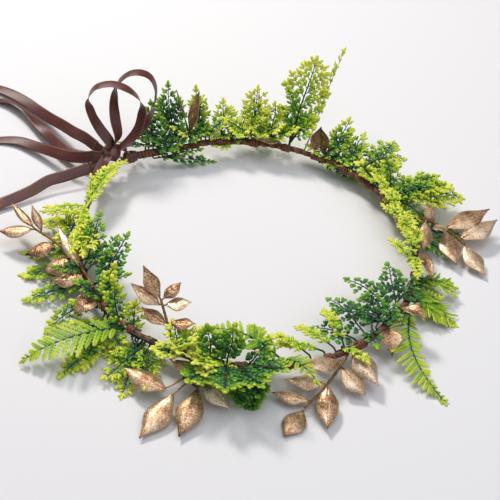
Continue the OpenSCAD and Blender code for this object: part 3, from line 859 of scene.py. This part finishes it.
def add_knot():
    """The knot that holds the bow, its straps over the hitches, and the pinched starts of the tails."""
    knot = np.array([-88, 60.5, 16]) * MM
    shape = Shape(*RIBBON_VALUES)
    wound_ribbon(shape, knot, (1.0, 0.25, 0.1), (3.6, 4.1), 3.4, 2.6, 5.4, 0.08)
    wound_ribbon(shape, knot + 0.6 * MM * UP, (0.35, 1.0, 0.3), (3.4, 5.4), 2.4, 1.8, 5.0, 0.06)
    for at, lift, sideways in ((WIRE_LENGTH - 4 * MM, 5.0, 1.6), (WIRE_LENGTH - 4 * MM, -1.0, -2.0),
                               (4 * MM, 5.0, 1.6), (4 * MM, 0.5, -2.2)):
        hitch = wire_point(at)
        aside = unit(np.cross(knot - hitch, UP)) * sideways * MM
        start = hitch + aside + lift * 0.8 * MM * UP
        middle = (hitch + knot) / 2 + aside + (lift * 0.9 + 0.8) * MM * UP
        path = even_curve([start, middle, knot + aside * 0.4 + 1.5 * MM * UP], 0.8 * MM)
        wide = np.cross(tangents(path), UP) + 0.3 * UP * np.sign(sideways)
        strip(shape, path, wide, 4.6 * MM)
    for route in TAILS.values():
        tail, rolls = route_curve(route)
        start, ahead = tail[0], unit(tail[1] - tail[0])
        bend = (knot + start) / 2 - ahead * MM
        path = even_curve([knot, bend, start, start + ahead * 1.5 * MM], 0.7 * MM)
        shares = np.interp(np.linspace(0, 1, len(path)), [0, 0.45, 1], [0.4, 0.55, 0.98])
        strip(shape, path, tail_sides(tail, rolls)[0], RIBBON_WIDTH, 0.0, shares)
    place_piece(shape.make("bow_knot_satin"), SATIN, "ribbon_knot")


add_tape()
add_hitches()
add_knot()


# ---------------------------------------------------------------- ferns

def lobe_template(sides=5):
    """A stubby rounded lobe along +X, one unit long, wide and thick, with its foot at the origin."""
    at = np.array([0.0, 0.45, 0.84])
    size = np.array([0.42, 0.95, 0.74])
    rings = len(at)
    points = [[x, 0.5 * r * math.cos(a), 0.5 * r * math.sin(a)]
              for x, r in zip(at, size) for a in full_turn(sides)]
    faces = [grid_faces(rings, sides, True), cap_faces((rings - 1) * sides, sides, rings * sides, True)]
    return np.array(points + [[1, 0, 0]]), np.vstack(faces), np.append(np.repeat(at, sides), 1.0)


def pinna_template(teeth=6, columns=7):
    """A long leaflet along +X with a toothed edge, a raised midrib and a rounded tip."""
    rows = teeth * 5 + 1
    x = np.linspace(0, 1, rows)[:, None]
    across = np.linspace(-1, 1, columns)
    outline = np.minimum(x * 9 + 0.35, 1) * np.sqrt(1 - x ** 4)
    half = 0.5 * outline * (0.62 + 0.5 * np.sin(math.pi * (x * teeth % 1.0) ** 1.6))
    half[-1] = 0.05
    dome = 0.5 * np.cos(across * math.pi / 2) - 0.4 * np.exp(-(across / 0.2) ** 2)
    height = 0.5 + dome * outline
    top = value_grid(x, half * across, height)
    under = value_grid(x, half * across * 0.97, height - 0.55)
    share = 0.35 * x + 0.65 * np.abs(across)
    points = np.concatenate([top, under]).reshape(-1, 3)
    return points, sheet_faces(rows, columns), np.tile(share.ravel(), 2)


LOBE = lobe_template()
PINNA = pinna_template()


class Batch:
    """Copies of one template waiting to be scattered."""

    def __init__(self, template):
        self.template = template
        self.rows = []

    def add(self, origin, along, side, up, size, tones):
        self.rows.append(np.concatenate([origin, along, side, up, size, tones]))

    def scatter(self, shape):
        if not self.rows:
            return
        rows = np.array(self.rows)
        frames = rows[:, 3:12].reshape(-1, 3, 3)
        scatter(shape, self.template, rows[:, :3], frames, rows[:, 12:15], rows[:, 15:17])


def turned(along, side, up, angle, lift=0.0):
    """along turned by angle towards side and by lift towards up, with its own side and up."""
    level = math.cos(angle) * along + math.sin(angle) * side
    ahead = math.cos(lift) * level + math.sin(lift) * up
    across = unit(np.cross(up, ahead))
    return unit(ahead), across, np.cross(unit(ahead), across)


# How a fern grows unless STYLES says otherwise: lengths in millimetres, angles in degrees
USUAL = {
    "kind": "branch",  # or pinna, with toothed leaflets in place of side branches
    "pitch": 4.8,  # between side branches
    "angle": 50,  # of a side branch to the stem
    "sides": (1.0, 1.0),  # lengths of the branches on each side, as shares of the blade's half width
    "bare": 0.06,  # share of the stem below the first branch
    "lift": 8,  # how unevenly the branches rise
    "curl": 0,  # bend of a side branch over its length
    "knob": (3.2, 1.7, 1.3),  # one lobe's length, width and thickness
    "knob_pitch": 2.8,
    "spread": 44,  # of the lobes beside a branch
    "pinna": (2.4, 0.6),  # a leaflet's width and thickness
    "stem": 0.45,  # radius
    "stem_tone": 0.0,
    "tone": (0.0, 0.35, 0.45),  # at the foot, then what is added along the stem and outwards
    "crowd": (),  # companions of each sprig
}


def style_of(**changes):
    """A fern's style, in metres and radians."""
    style = SimpleNamespace(**{**USUAL, **changes})
    for name in ("pitch", "knob", "knob_pitch", "pinna", "stem"):
        setattr(style, name, np.array(getattr(style, name)) * MM)
    for name in ("angle", "lift", "curl", "spread"):
        setattr(style, name, math.radians(getattr(style, name)))
    return style


STEM_ROWS = 60
SPINE_ROWS = 48
TAIL_ROWS = 16
STEM_SIDES = 7
TAIL_SIDES = 6
BRANCH_SIDES = 5
BRANCH_STEP = 0.8 * MM
SHORTEST_BRANCH = 2.4 * MM  # what is shorter is a single lobe
SHORTEST_PINNA = 3.2 * MM
FERN_SEED = 100


class Fern:
    """One CAD node of fern, grown as stems, side branches and lobes."""

    def __init__(self, node, style, seed):
        self.node = node
        self.style = style
        self.rng = np.random.default_rng(seed)
        self.shape = Shape("tone")
        self.lobes = Batch(LOBE)
        self.pinnae = Batch(PINNA)

    def tone_at(self, along_share, out_share):
        base, forward, outward = self.style.tone
        return base + forward * along_share + outward * out_share + self.rng.normal(0, 0.045)

    def knob(self, at, along, side, up, grow, tone):
        """One lobe, a little uneven in size and heading."""
        size = self.style.knob * grow * self.rng.uniform(0.85, 1.18)
        frame = turned(along, side, up, self.rng.normal(0, 0.12), self.rng.normal(0, 0.14))
        self.lobes.add(at, *frame, size, (tone - 0.16, tone + 0.12))

    def tip(self, at, along, side, up, grow, tone):
        """The end of a branch: a middle lobe with one on each side of it."""
        self.knob(at, along, side, up, grow * 1.05, tone + 0.06)
        beside = at - along * 0.25 * self.style.knob[0]
        for turn in (-0.75, 0.75):
            self.knob(beside, *turned(along, side, up, turn), grow * 0.85, tone)

    def branch(self, start, along, side, up, length, along_share):
        """A side branch with pairs of lobes and a lobed tip. side points to its outer side."""
        style = self.style
        steps = max(3, int(length / BRANCH_STEP))
        bend = (style.curl + self.rng.normal(0, 0.10)) / steps
        points, frames = [start], [(along, side, up)]
        for _ in range(steps):
            frames.append(turned(*frames[-1], bend))
            points.append(points[-1] + frames[-1][0] * length / steps)
        path = np.array(points)
        shares = np.linspace(0, 1, len(path))
        tones = np.array([self.tone_at(along_share, 0.15 * k) for k in shares]) - 0.12
        tones = np.maximum(tones, style.stem_tone * 0.9)
        tube(self.shape, path, style.stem * (0.62 - 0.3 * shares), BRANCH_SIDES, tones, up)
        run = lengths_along(path)
        at = 0.55 * style.knob_pitch
        while at < run[-1] - 0.2 * style.knob_pitch:
            k = min(int(np.searchsorted(run, at)), len(path) - 1)
            share = at / run[-1]
            for turn in (-1, 1):
                frame = turned(*frames[k], turn * style.spread * self.rng.uniform(0.85, 1.1))
                tone = self.tone_at(along_share, 0.25 + 0.75 * share)
                self.knob(path[k], *frame, 1.0 - 0.22 * share, tone)
            at += style.knob_pitch * self.rng.uniform(0.9, 1.1)
        self.tip(path[-1], *frames[-1], 0.95, self.tone_at(along_share, 1.0))

    def tail(self, foot, ahead):
        """The stem's own end, bound along the wire behind the sprig's foot."""
        at = nearest_on_wire(foot)
        away = foot - wire_point(at)
        back = -1 if np.dot(wire_point(at + 1 * MM) - wire_point(at), ahead) > 0 else 1
        run = np.linspace(0, self.rng.uniform(14, 30) * MM, TAIL_ROWS)
        line = wire_point(np.clip(at + back * run, 2 * MM, WIRE_LENGTH - 2 * MM))
        side = np.cross(tangents(line), UP)
        lean = math.atan2(away[2], np.dot(away, side[0]))
        lean = lean + np.linspace(0, self.rng.uniform(-1.4, 1.4), TAIL_ROWS)
        out = side * np.cos(lean)[:, None] + UP * np.sin(lean)[:, None]
        radii = np.linspace(self.style.stem, 0.3 * MM, TAIL_ROWS)
        tones = np.full(TAIL_ROWS, self.style.stem_tone)
        tube(self.shape, line + out * (TAPE_R + 0.35 * MM), radii, TAIL_SIDES, tones)

    def grow(self, blade, fixed):
        """Grows one sprig along a blade. A fixed one shows its bound end on the wire."""
        style, rng = self.style, self.rng
        spine = smooth_curve(blade.centre, SPINE_ROWS)
        half = np.maximum(smooth_curve(blade.half, SPINE_ROWS)[:, 0], 0.8 * MM)
        t = tangents(spine)
        side = squared(unit(smooth_curve(blade.side, SPINE_ROWS)), t)
        up = np.cross(t, side)
        run = lengths_along(spine)
        total = run[-1]
        wobble = 0.35 * MM * np.sin(run / total * rng.uniform(5, 8) + rng.uniform(0, 6))
        spine = spine + side * wobble[:, None]

        root = [off_wire(spine[0], TAPE_R * k) for k in (0.6, 1.4)]
        if fixed:
            self.tail(spine[0], t[0])
        path = np.vstack([root, spine[1:]])
        shares = np.linspace(0, 1, STEM_ROWS)
        tones = style.stem_tone + 0.35 * np.clip(shares - 0.55, 0, 1) + 0.15 * style.tone[0]
        radii = style.stem * (1.15 - 0.65 * shares)
        tube(self.shape, smooth_curve(path, STEM_ROWS), radii, STEM_SIDES, tones, up[0])

        for sign, share_of_width, start in zip((1, -1), style.sides, (0.25, 0.62)):
            at = total * style.bare + style.pitch * start
            while at < total - 0.6 * MM:
                k = int(np.searchsorted(run, at))
                angle = style.angle * rng.uniform(0.86, 1.12)
                width = half[k] * share_of_width * rng.uniform(0.82, 1.1)
                length = min(width / max(math.sin(angle), 0.35), (total - at) * 0.9 + 2.5 * MM)
                tilt = rng.normal(0, style.lift * 0.5) * sign
                frame = turned(t[k], side[k] * sign, up[k] * sign, angle, tilt)
                self.element(spine[k], *frame, length, at / total)
                at += style.pitch * rng.uniform(0.88, 1.12) * (0.75 + 0.25 * half[k] / half.max())
        self.tip(spine[-1], t[-1], side[-1], up[-1], 1.15, self.tone_at(1.0, 0.9))

    def element(self, start, ahead, across, above, length, along_share):
        """What grows beside the stem: a branch, a pinna or, where it is short, a single lobe."""
        kind = self.style.kind
        if kind == "branch" and length > SHORTEST_BRANCH:
            self.branch(start, ahead, across, above, length - 0.8 * MM, along_share)
        elif kind == "pinna" and length > SHORTEST_PINNA:
            tone = self.tone_at(along_share, 0.4)
            wide, thick = self.style.pinna
            size = (length, wide * self.rng.uniform(0.85, 1.15), thick)
            flat = above if above[2] > 0 else -above
            self.pinnae.add(start - flat * 0.2 * MM, ahead, np.cross(flat, ahead), flat, size,
                            (tone - 0.18, tone + 0.42))
        else:
            self.knob(start, ahead, across, above, max(length / self.style.knob[0], 0.8),
                      self.tone_at(along_share, 0.8))

    def finish(self):
        self.lobes.scatter(self.shape)
        self.pinnae.scatter(self.shape)
        self.shape.rest_on_table()
        place_piece(self.shape.make(self.node + "_plastic"), FERN, self.node)


# The low foot tones here are partly the plastic's own dark stems and partly painted shade deep in the
# foliage.
DARK = (0.02, 0.22, 0.36)
MID = (0.04, 0.36, 0.52)
BRIGHT = (0.14, 0.36, 0.54)
LIME = (0.34, 0.24, 0.52)

# Companions of a sprig: (yaw, rise, scale, shift along the wire in mm)
BACK = ((-36, -4, 0.8, 5), (36, -6, 0.78, -5), (-84, -36, 0.75, 3), (84, -38, 0.75, -3))
LOW = ((-88, -34, 1.0, 4), (86, -40, 0.9, -4), (-40, -30, 0.9, -5))
TUFT = ((-34, 4, 0.85, 4), (36, -12, 0.85, -4), (-72, -24, 0.7, 2), (70, -28, 0.7, -2))
PAIR = ((-26, 6, 0.78, 4), (30, 4, 0.7, -4))
CREEP = ((62, 6, 0.62, -5), (-64, 8, 0.6, 5))
FINE = (2.6, 1.5, 1.2)
BLOB = (3.1, 2.3, 1.7)
FLAT = (2.9, 2.7, 0.9)

STYLES = {
    "back_fern_1": dict(tone=DARK, crowd=BACK),
    "back_fern_2": dict(tone=DARK, crowd=BACK),
    "back_fern_3": dict(tone=MID, crowd=BACK),
    "back_fern_4": dict(tone=LIME, crowd=BACK + ((-50, -50, 0.9, 8),)),
    "back_fern_5": dict(tone=MID, knob=FINE, crowd=TUFT + ((10, 26, 0.8, -8),)),
    "back_fern_6": dict(tone=LIME, knob=BLOB, crowd=TUFT + ((90, 4, 0.6, 5),)),
    "back_low_sprigs": dict(tone=BRIGHT, crowd=LOW),
    "back_under_sprigs": dict(tone=DARK, crowd=((8, 14, 0.9, 6),)),
    "back_right_sprigs": dict(tone=MID, crowd=BACK),
    "tall_frond": dict(
        tone=(0.2, 0.6, 0.42), pitch=5.2, angle=44, knob=(4.0, 2.3, 1.7), stem=0.6, lift=6,
        knob_pitch=3.3, crowd=((24, -10, 0.4, 0), (-30, -16, 0.42, 0))),
    "back_branch": dict(
        tone=LIME, pitch=6.0, angle=32, stem=0.4, bare=0.3, sides=(1.0, 0.4), stem_tone=0.5),
    "right_fern_1": dict(
        tone=BRIGHT, knob=BLOB,
        crowd=PAIR + ((12, 14, 0.75, -6), (-70, -10, 0.5, 3), (75, -10, 0.45, -3))),
    "right_fern_2": dict(tone=MID, knob=FINE, crowd=TUFT + ((60, 12, 0.8, 6),)),
    "right_fern_3": dict(tone=DARK, crowd=CREEP + ((-38, 2, 0.85, -3),)),
    "right_fern_4": dict(
        kind="pinna", tone=BRIGHT, pitch=3.5, angle=42, pinna=(1.7, 0.8), crowd=TUFT),
    "right_fern_5": dict(
        kind="pinna", tone=BRIGHT, pitch=3.5, angle=40, pinna=(1.7, 0.8),
        crowd=PAIR + ((-60, 10, 0.6, 6), (52, 12, 0.7, -4))),
    "right_curls": dict(
        tone=LIME, pitch=3.2, curl=-120, knob=FINE, knob_pitch=2.1,
        crowd=((24, 6, 0.8, -8), (-26, -8, 0.7, 6), (163, 4, 0.85, 2), (8, 14, 0.9, 12))),
    "trailing_frond": dict(
        kind="pinna", tone=(0.47, 0.16, 0.18), pitch=3.3, angle=62, pinna=(2.2, 0.8),
        sides=(0.9, 1.8), stem=0.6),
    "front_inner_sprigs": dict(
        tone=(0.02, 0.3, 0.26), pitch=4.4, knob=(2.7, 2.2, 1.1), knob_pitch=2.6, curl=40, angle=56,
        crowd=((-42, 4, 0.9, 6), (34, -6, 0.8, -7), (-78, 0, 0.7, 8), (150, 0, 0.4, 4))),
    "front_fern_1": dict(
        tone=LIME, pitch=3.4, curl=-110, knob=FINE, knob_pitch=2.2,
        crowd=((-32, 8, 1.0, 6), (26, -4, 1.15, -6), (14, 12, 1.0, -14), (170, 0, 0.75, 4))),
    "front_fern_2": dict(
        tone=(0.05, 0.3, 0.36), pitch=3.8, angle=56, knob=FLAT, knob_pitch=2.4,
        crowd=((-168, -44, 1.35, 0), (-138, -40, 1.4, 5), (160, -46, 1.3, -6), (-104, -36, 1.3, 9),
               (30, -10, 0.9, -8), (-40, -20, 0.9, 10))),
    "front_fern_3": dict(
        tone=(0.02, 0.2, 0.28), pitch=3.8, angle=54, knob=FLAT, knob_pitch=2.4,
        crowd=((40, 8, 1.0, -6), (-42, 10, 0.95, 6), (12, 32, 1.0, 0), (76, 16, 0.9, -9),
               (-78, 18, 0.85, 9))),
    "front_small_sprigs": dict(
        tone=LIME, pitch=4.0, knob=(3.0, 2.4, 1.2),
        crowd=((-44, -12, 1.0, 5), (42, -14, 1.0, -5), (-90, -36, 1.1, 3), (92, -36, 1.1, -4),
               (180, -30, 0.9, 0))),
    "arching_frond": dict(
        kind="pinna", tone=(0.3, 0.26, 0.3), pitch=3.4, angle=64, pinna=(2.2, 0.8),
        sides=(1.3, 1.1), stem=0.5, crowd=((-50, -4, 0.6, -8), (160, 6, 0.5, 0))),
    "broad_frond": dict(
        kind="pinna", tone=(0.45, 0.12, 0.16), pitch=4.2, angle=58, pinna=(2.9, 0.9), stem=0.6),
    "left_fern_1": dict(
        tone=MID, knob=BLOB,
        crowd=CREEP + ((24, 2, 0.85, -7), (-130, 50, 0.66, 6), (-152, 46, 0.6, -7),
               (-172, 56, 0.6, -14))),
    "left_fern_2": dict(
        tone=BRIGHT, crowd=TUFT + ((10, 14, 0.8, 7), (-175, 46, 0.6, -4), (160, 50, 0.45, -11))),
    "left_fern_3": dict(
        tone=LIME, knob=BLOB,
        crowd=((-30, 6, 0.8, 4), (104, 4, 1.0, -3), (90, 12, 0.9, 2), (118, 12, 0.9, 6),
               (-62, 10, 0.8, 0))),
    "left_fern_4": dict(
        tone=DARK, crowd=((-22, -8, 0.8, 5), (-100, 6, 0.6, -5), (104, -24, 0.5, 3))),
    "left_outer_sprigs": dict(tone=MID, knob=BLOB, crowd=((-60, 8, 0.5, 6),)),
    "left_low_sprigs": dict(tone=MID, knob=BLOB, crowd=((64, 8, 0.5, -6),)),
    "lime_frond": dict(
        tone=LIME, pitch=4.0, angle=30, knob=(3.3, 1.6, 1.3), spread=32, stem=0.6, stem_tone=0.8,
        lift=14, sides=(1.0, 0.35),
        crowd=((4, 0, 0.7, -6), (-150, -2, 0.75, 0), (-162, 8, 0.7, -5), (-138, 8, 0.66, 8),
               (-158, 12, 0.66, 14), (-146, 14, 0.6, 20), (116, 2, 0.42, 4), (130, 2, 0.42, -4))),
    "inner_frond": dict(
        tone=DARK, stem=0.6, crowd=((18, -8, 0.85, 6), (-70, 4, 0.5, -6), (96, 4, 0.5, 8))),
}


def add_ferns():
    for seed, (node, style) in enumerate(STYLES.items()):
        fern = Fern(node, style_of(**style), FERN_SEED + seed)
        for blade in blades_of(node):
            fern.grow(blade, BODY_OF[node] == "crown")
            for turns in fern.style.crowd:
                fern.grow(blade.companion(*turns), False)
        fern.finish()


add_ferns()


# ---------------------------------------------------------------- gold leaves

LEAF_ROWS = 40
LEAF_COLUMNS = 17
LEAF_THICKNESS = 0.55 * MM
LEAF_VALUES = ("along", "across", "edge", "tone")
STALK_VALUES = (0.0, 0.0, 0.0, 0.25)
STALK_SIDES = 8
SPRAY_SIDES = 10
SPRAY_ROWS = 200  # fine enough to find the place on a stem nearest to a leaf
SPRAY_SEED = 40
LOOSE_SEED = 61


def gold_leaf(shape, blade, stalk_from, rng, bulge):
    """One leaf along a CAD blade: a creased, cupped or domed sheet with a drip tip, and a stalk."""
    spine = smooth_curve(blade.centre, LEAF_ROWS)
    t = tangents(spine)
    side = squared(unit(smooth_curve(blade.side, LEAF_ROWS)), t)
    up = np.cross(t, side)
    u = np.linspace(0, 1, LEAF_ROWS)[:, None]
    v = np.linspace(-1, 1, LEAF_COLUMNS)
    widest = blade.half.max()
    half = np.clip(smooth_curve(blade.half, LEAF_ROWS), 0.1 * MM, widest)
    half = 1.12 * half * (1 - 0.45 * np.clip((u - 0.86) / 0.14, 0, 1))
    outline = half / half.max()
    half = half * (1 + 0.03 * np.sin(u * rng.uniform(9, 14) + rng.uniform(0, 6)))
    curl = bulge * widest * 0.5
    spine = spine + up * curl * 0.35 * np.sin(math.pi * u)

    drop = curl * v ** 2 * outline
    crease = 0.18 * MM * np.exp(-(v / 0.09) ** 2) * (1 - u ** 2)
    veins = 0.07 * MM * np.sin(u * 26 - np.abs(v) * 5) * (1 - np.abs(v))
    ripple = 0.18 * MM * np.sin(u * rng.uniform(8, 13) + rng.uniform(0, 6)) * v ** 3
    lift = veins + ripple - crease - drop
    thick = LEAF_THICKNESS * (0.35 + 0.65 * outline) * (1 - 0.75 * v ** 4)
    flat = spine[:, None] + side[:, None] * (half * v)[:, :, None]
    sheets = [flat + up[:, None] * (lift + k * thick / 2)[:, :, None] for k in (1, -1)]
    rim = np.clip((np.abs(v) - 0.9) / 0.1, 0, 1) * (1 - u ** 4)
    tone = 0.5 + rng.normal(0, 0.10) - 0.35 * np.clip((u - 0.8) / 0.2, 0, 1) ** 1.5
    tone = tone - 0.1 * np.exp(-(v / 0.06) ** 2)
    values = value_grid(lengths_along(spine)[:, None] / MM, half * v / MM, rim, tone)
    faces = sheet_faces(LEAF_ROWS, LEAF_COLUMNS)
    shape.add(np.concatenate(sheets), faces, np.concatenate([values, values]))

    stalk = even_curve([stalk_from, (stalk_from + spine[0]) / 2, spine[1], spine[3]], 0.6 * MM)
    radii = np.linspace(0.62, 0.34, len(stalk)) * MM
    tube(shape, stalk, radii, STALK_SIDES, np.tile(STALK_VALUES, (len(stalk), 1)), up[0])


def add_spray(name, bulge, seed):
    """A spray's stem, running down to its binding and slightly knobbed, and the leaves along it."""
    rng = np.random.default_rng(seed)
    line = stem_line(name + "_stem")
    path = even_curve([off_wire(line[0], TAPE_R), *line], 0.5 * MM)
    share = np.linspace(0, 1, len(path))
    knobs = 0.14 * MM * np.sin(share * rng.uniform(22, 30)) ** 6
    shape = Shape("tone")
    tube(shape, path, (0.85 - 0.25 * share) * MM + knobs, SPRAY_SIDES, first=UP)
    place_piece(shape.make(name + "_stem_gold"), GOLD_STEM, name + "_stem")

    fine = smooth_curve(line, SPRAY_ROWS)
    shape = Shape(*LEAF_VALUES)
    for blade in blades_of(name + "_leaves"):
        nearest = fine[np.argmin(np.linalg.norm(fine - blade.centre[0], axis=1))]
        gold_leaf(shape, blade, nearest, rng, bulge * rng.uniform(0.7, 1.2))
    place_piece(shape.make(name + "_leaves_gold"), GOLD, name + "_leaves")


def add_loose_leaves():
    rng = np.random.default_rng(LOOSE_SEED)
    shape = Shape(*LEAF_VALUES)
    for blade in blades_of("loose_gold_leaves"):
        gold_leaf(shape, blade, off_wire(blade.centre[0], TAPE_R), rng, rng.uniform(-0.6, -0.3))
    place_piece(shape.make("loose_leaves_gold"), GOLD, "loose_gold_leaves")


# How far the leaves of each spray are domed. A negative value cups them.
BULGES = {"right_spray": 0.75, "front_right_spray": 0.8, "front_left_spray": 0.85, "inner_spray": 0.5,
          "left_spray": 0.85, "back_spray": -0.4}
for spray_seed, (spray, spray_bulge) in enumerate(BULGES.items()):
    add_spray(spray, spray_bulge, SPRAY_SEED + spray_seed)
add_loose_leaves()


# ---------------------------------------------------------------- floor and light

FLOOR_HALF = 3.0


def add_floor():
    mesh = bpy.data.meshes.new("floor")
    corners = [(FLOOR_HALF * x, FLOOR_HALF * y, 0) for x, y in ((-1, -1), (1, -1), (1, 1), (-1, 1))]
    mesh.from_pydata(corners, [], [(0, 1, 2, 3)])
    floor = bpy.data.objects.new("floor", mesh)
    bpy.context.scene.collection.objects.link(floor)
    s = Surface("pale_floor", 0.85)
    s.shader.inputs["Base Color"].default_value = linear("#e9e9ec")
    mesh.materials.append(s.material)


def add_light(name, place, size, power, tint):
    data = bpy.data.lights.new(name, "AREA")
    data.shape = "DISK"
    data.size = size
    data.energy = power
    data.color = linear(tint)[:3]
    lamp = bpy.data.objects.new(name, data)
    lamp.location = place
    lamp.rotation_euler = (-Vector(place)).to_track_quat("-Z", "Y").to_euler()
    bpy.context.scene.collection.objects.link(lamp)


def add_lights():
    """A window-like key from the back left, a wide fill from the front right, and a pale sky."""
    add_light("key", (-0.55, 0.75, 1.0), 0.3, 12.5, "#fff8f0")
    add_light("fill", (0.9, -0.6, 0.8), 1.1, 2.6, "#eef3ff")
    add_light("top", (0.2, 0.0, 1.3), 0.8, 3.0, "#ffffff")
    world = bpy.data.worlds.new("sky")
    world.use_nodes = True
    tree = world.node_tree
    sky = tree.nodes["Background"]
    direction = tree.nodes.new("ShaderNodeTexCoord").outputs["Generated"]
    height = tree.nodes.new("ShaderNodeSeparateXYZ")
    tree.links.new(direction, height.inputs["Vector"])
    shade = tree.nodes.new("ShaderNodeValToRGB")
    for element, (at, colour) in zip(shade.color_ramp.elements, ((0.45, "#6d6a68"), (0.8, "#f4f6fb"))):
        element.position = at
        element.color = linear(colour)
    tree.links.new(height.outputs["Z"], shade.inputs["Fac"])
    tree.links.new(shade.outputs["Color"], sky.inputs["Color"])
    sky.inputs["Strength"].default_value = 0.6
    bpy.context.scene.world = world
    bpy.context.scene.view_settings.view_transform = "Standard"


add_floor()
add_lights()
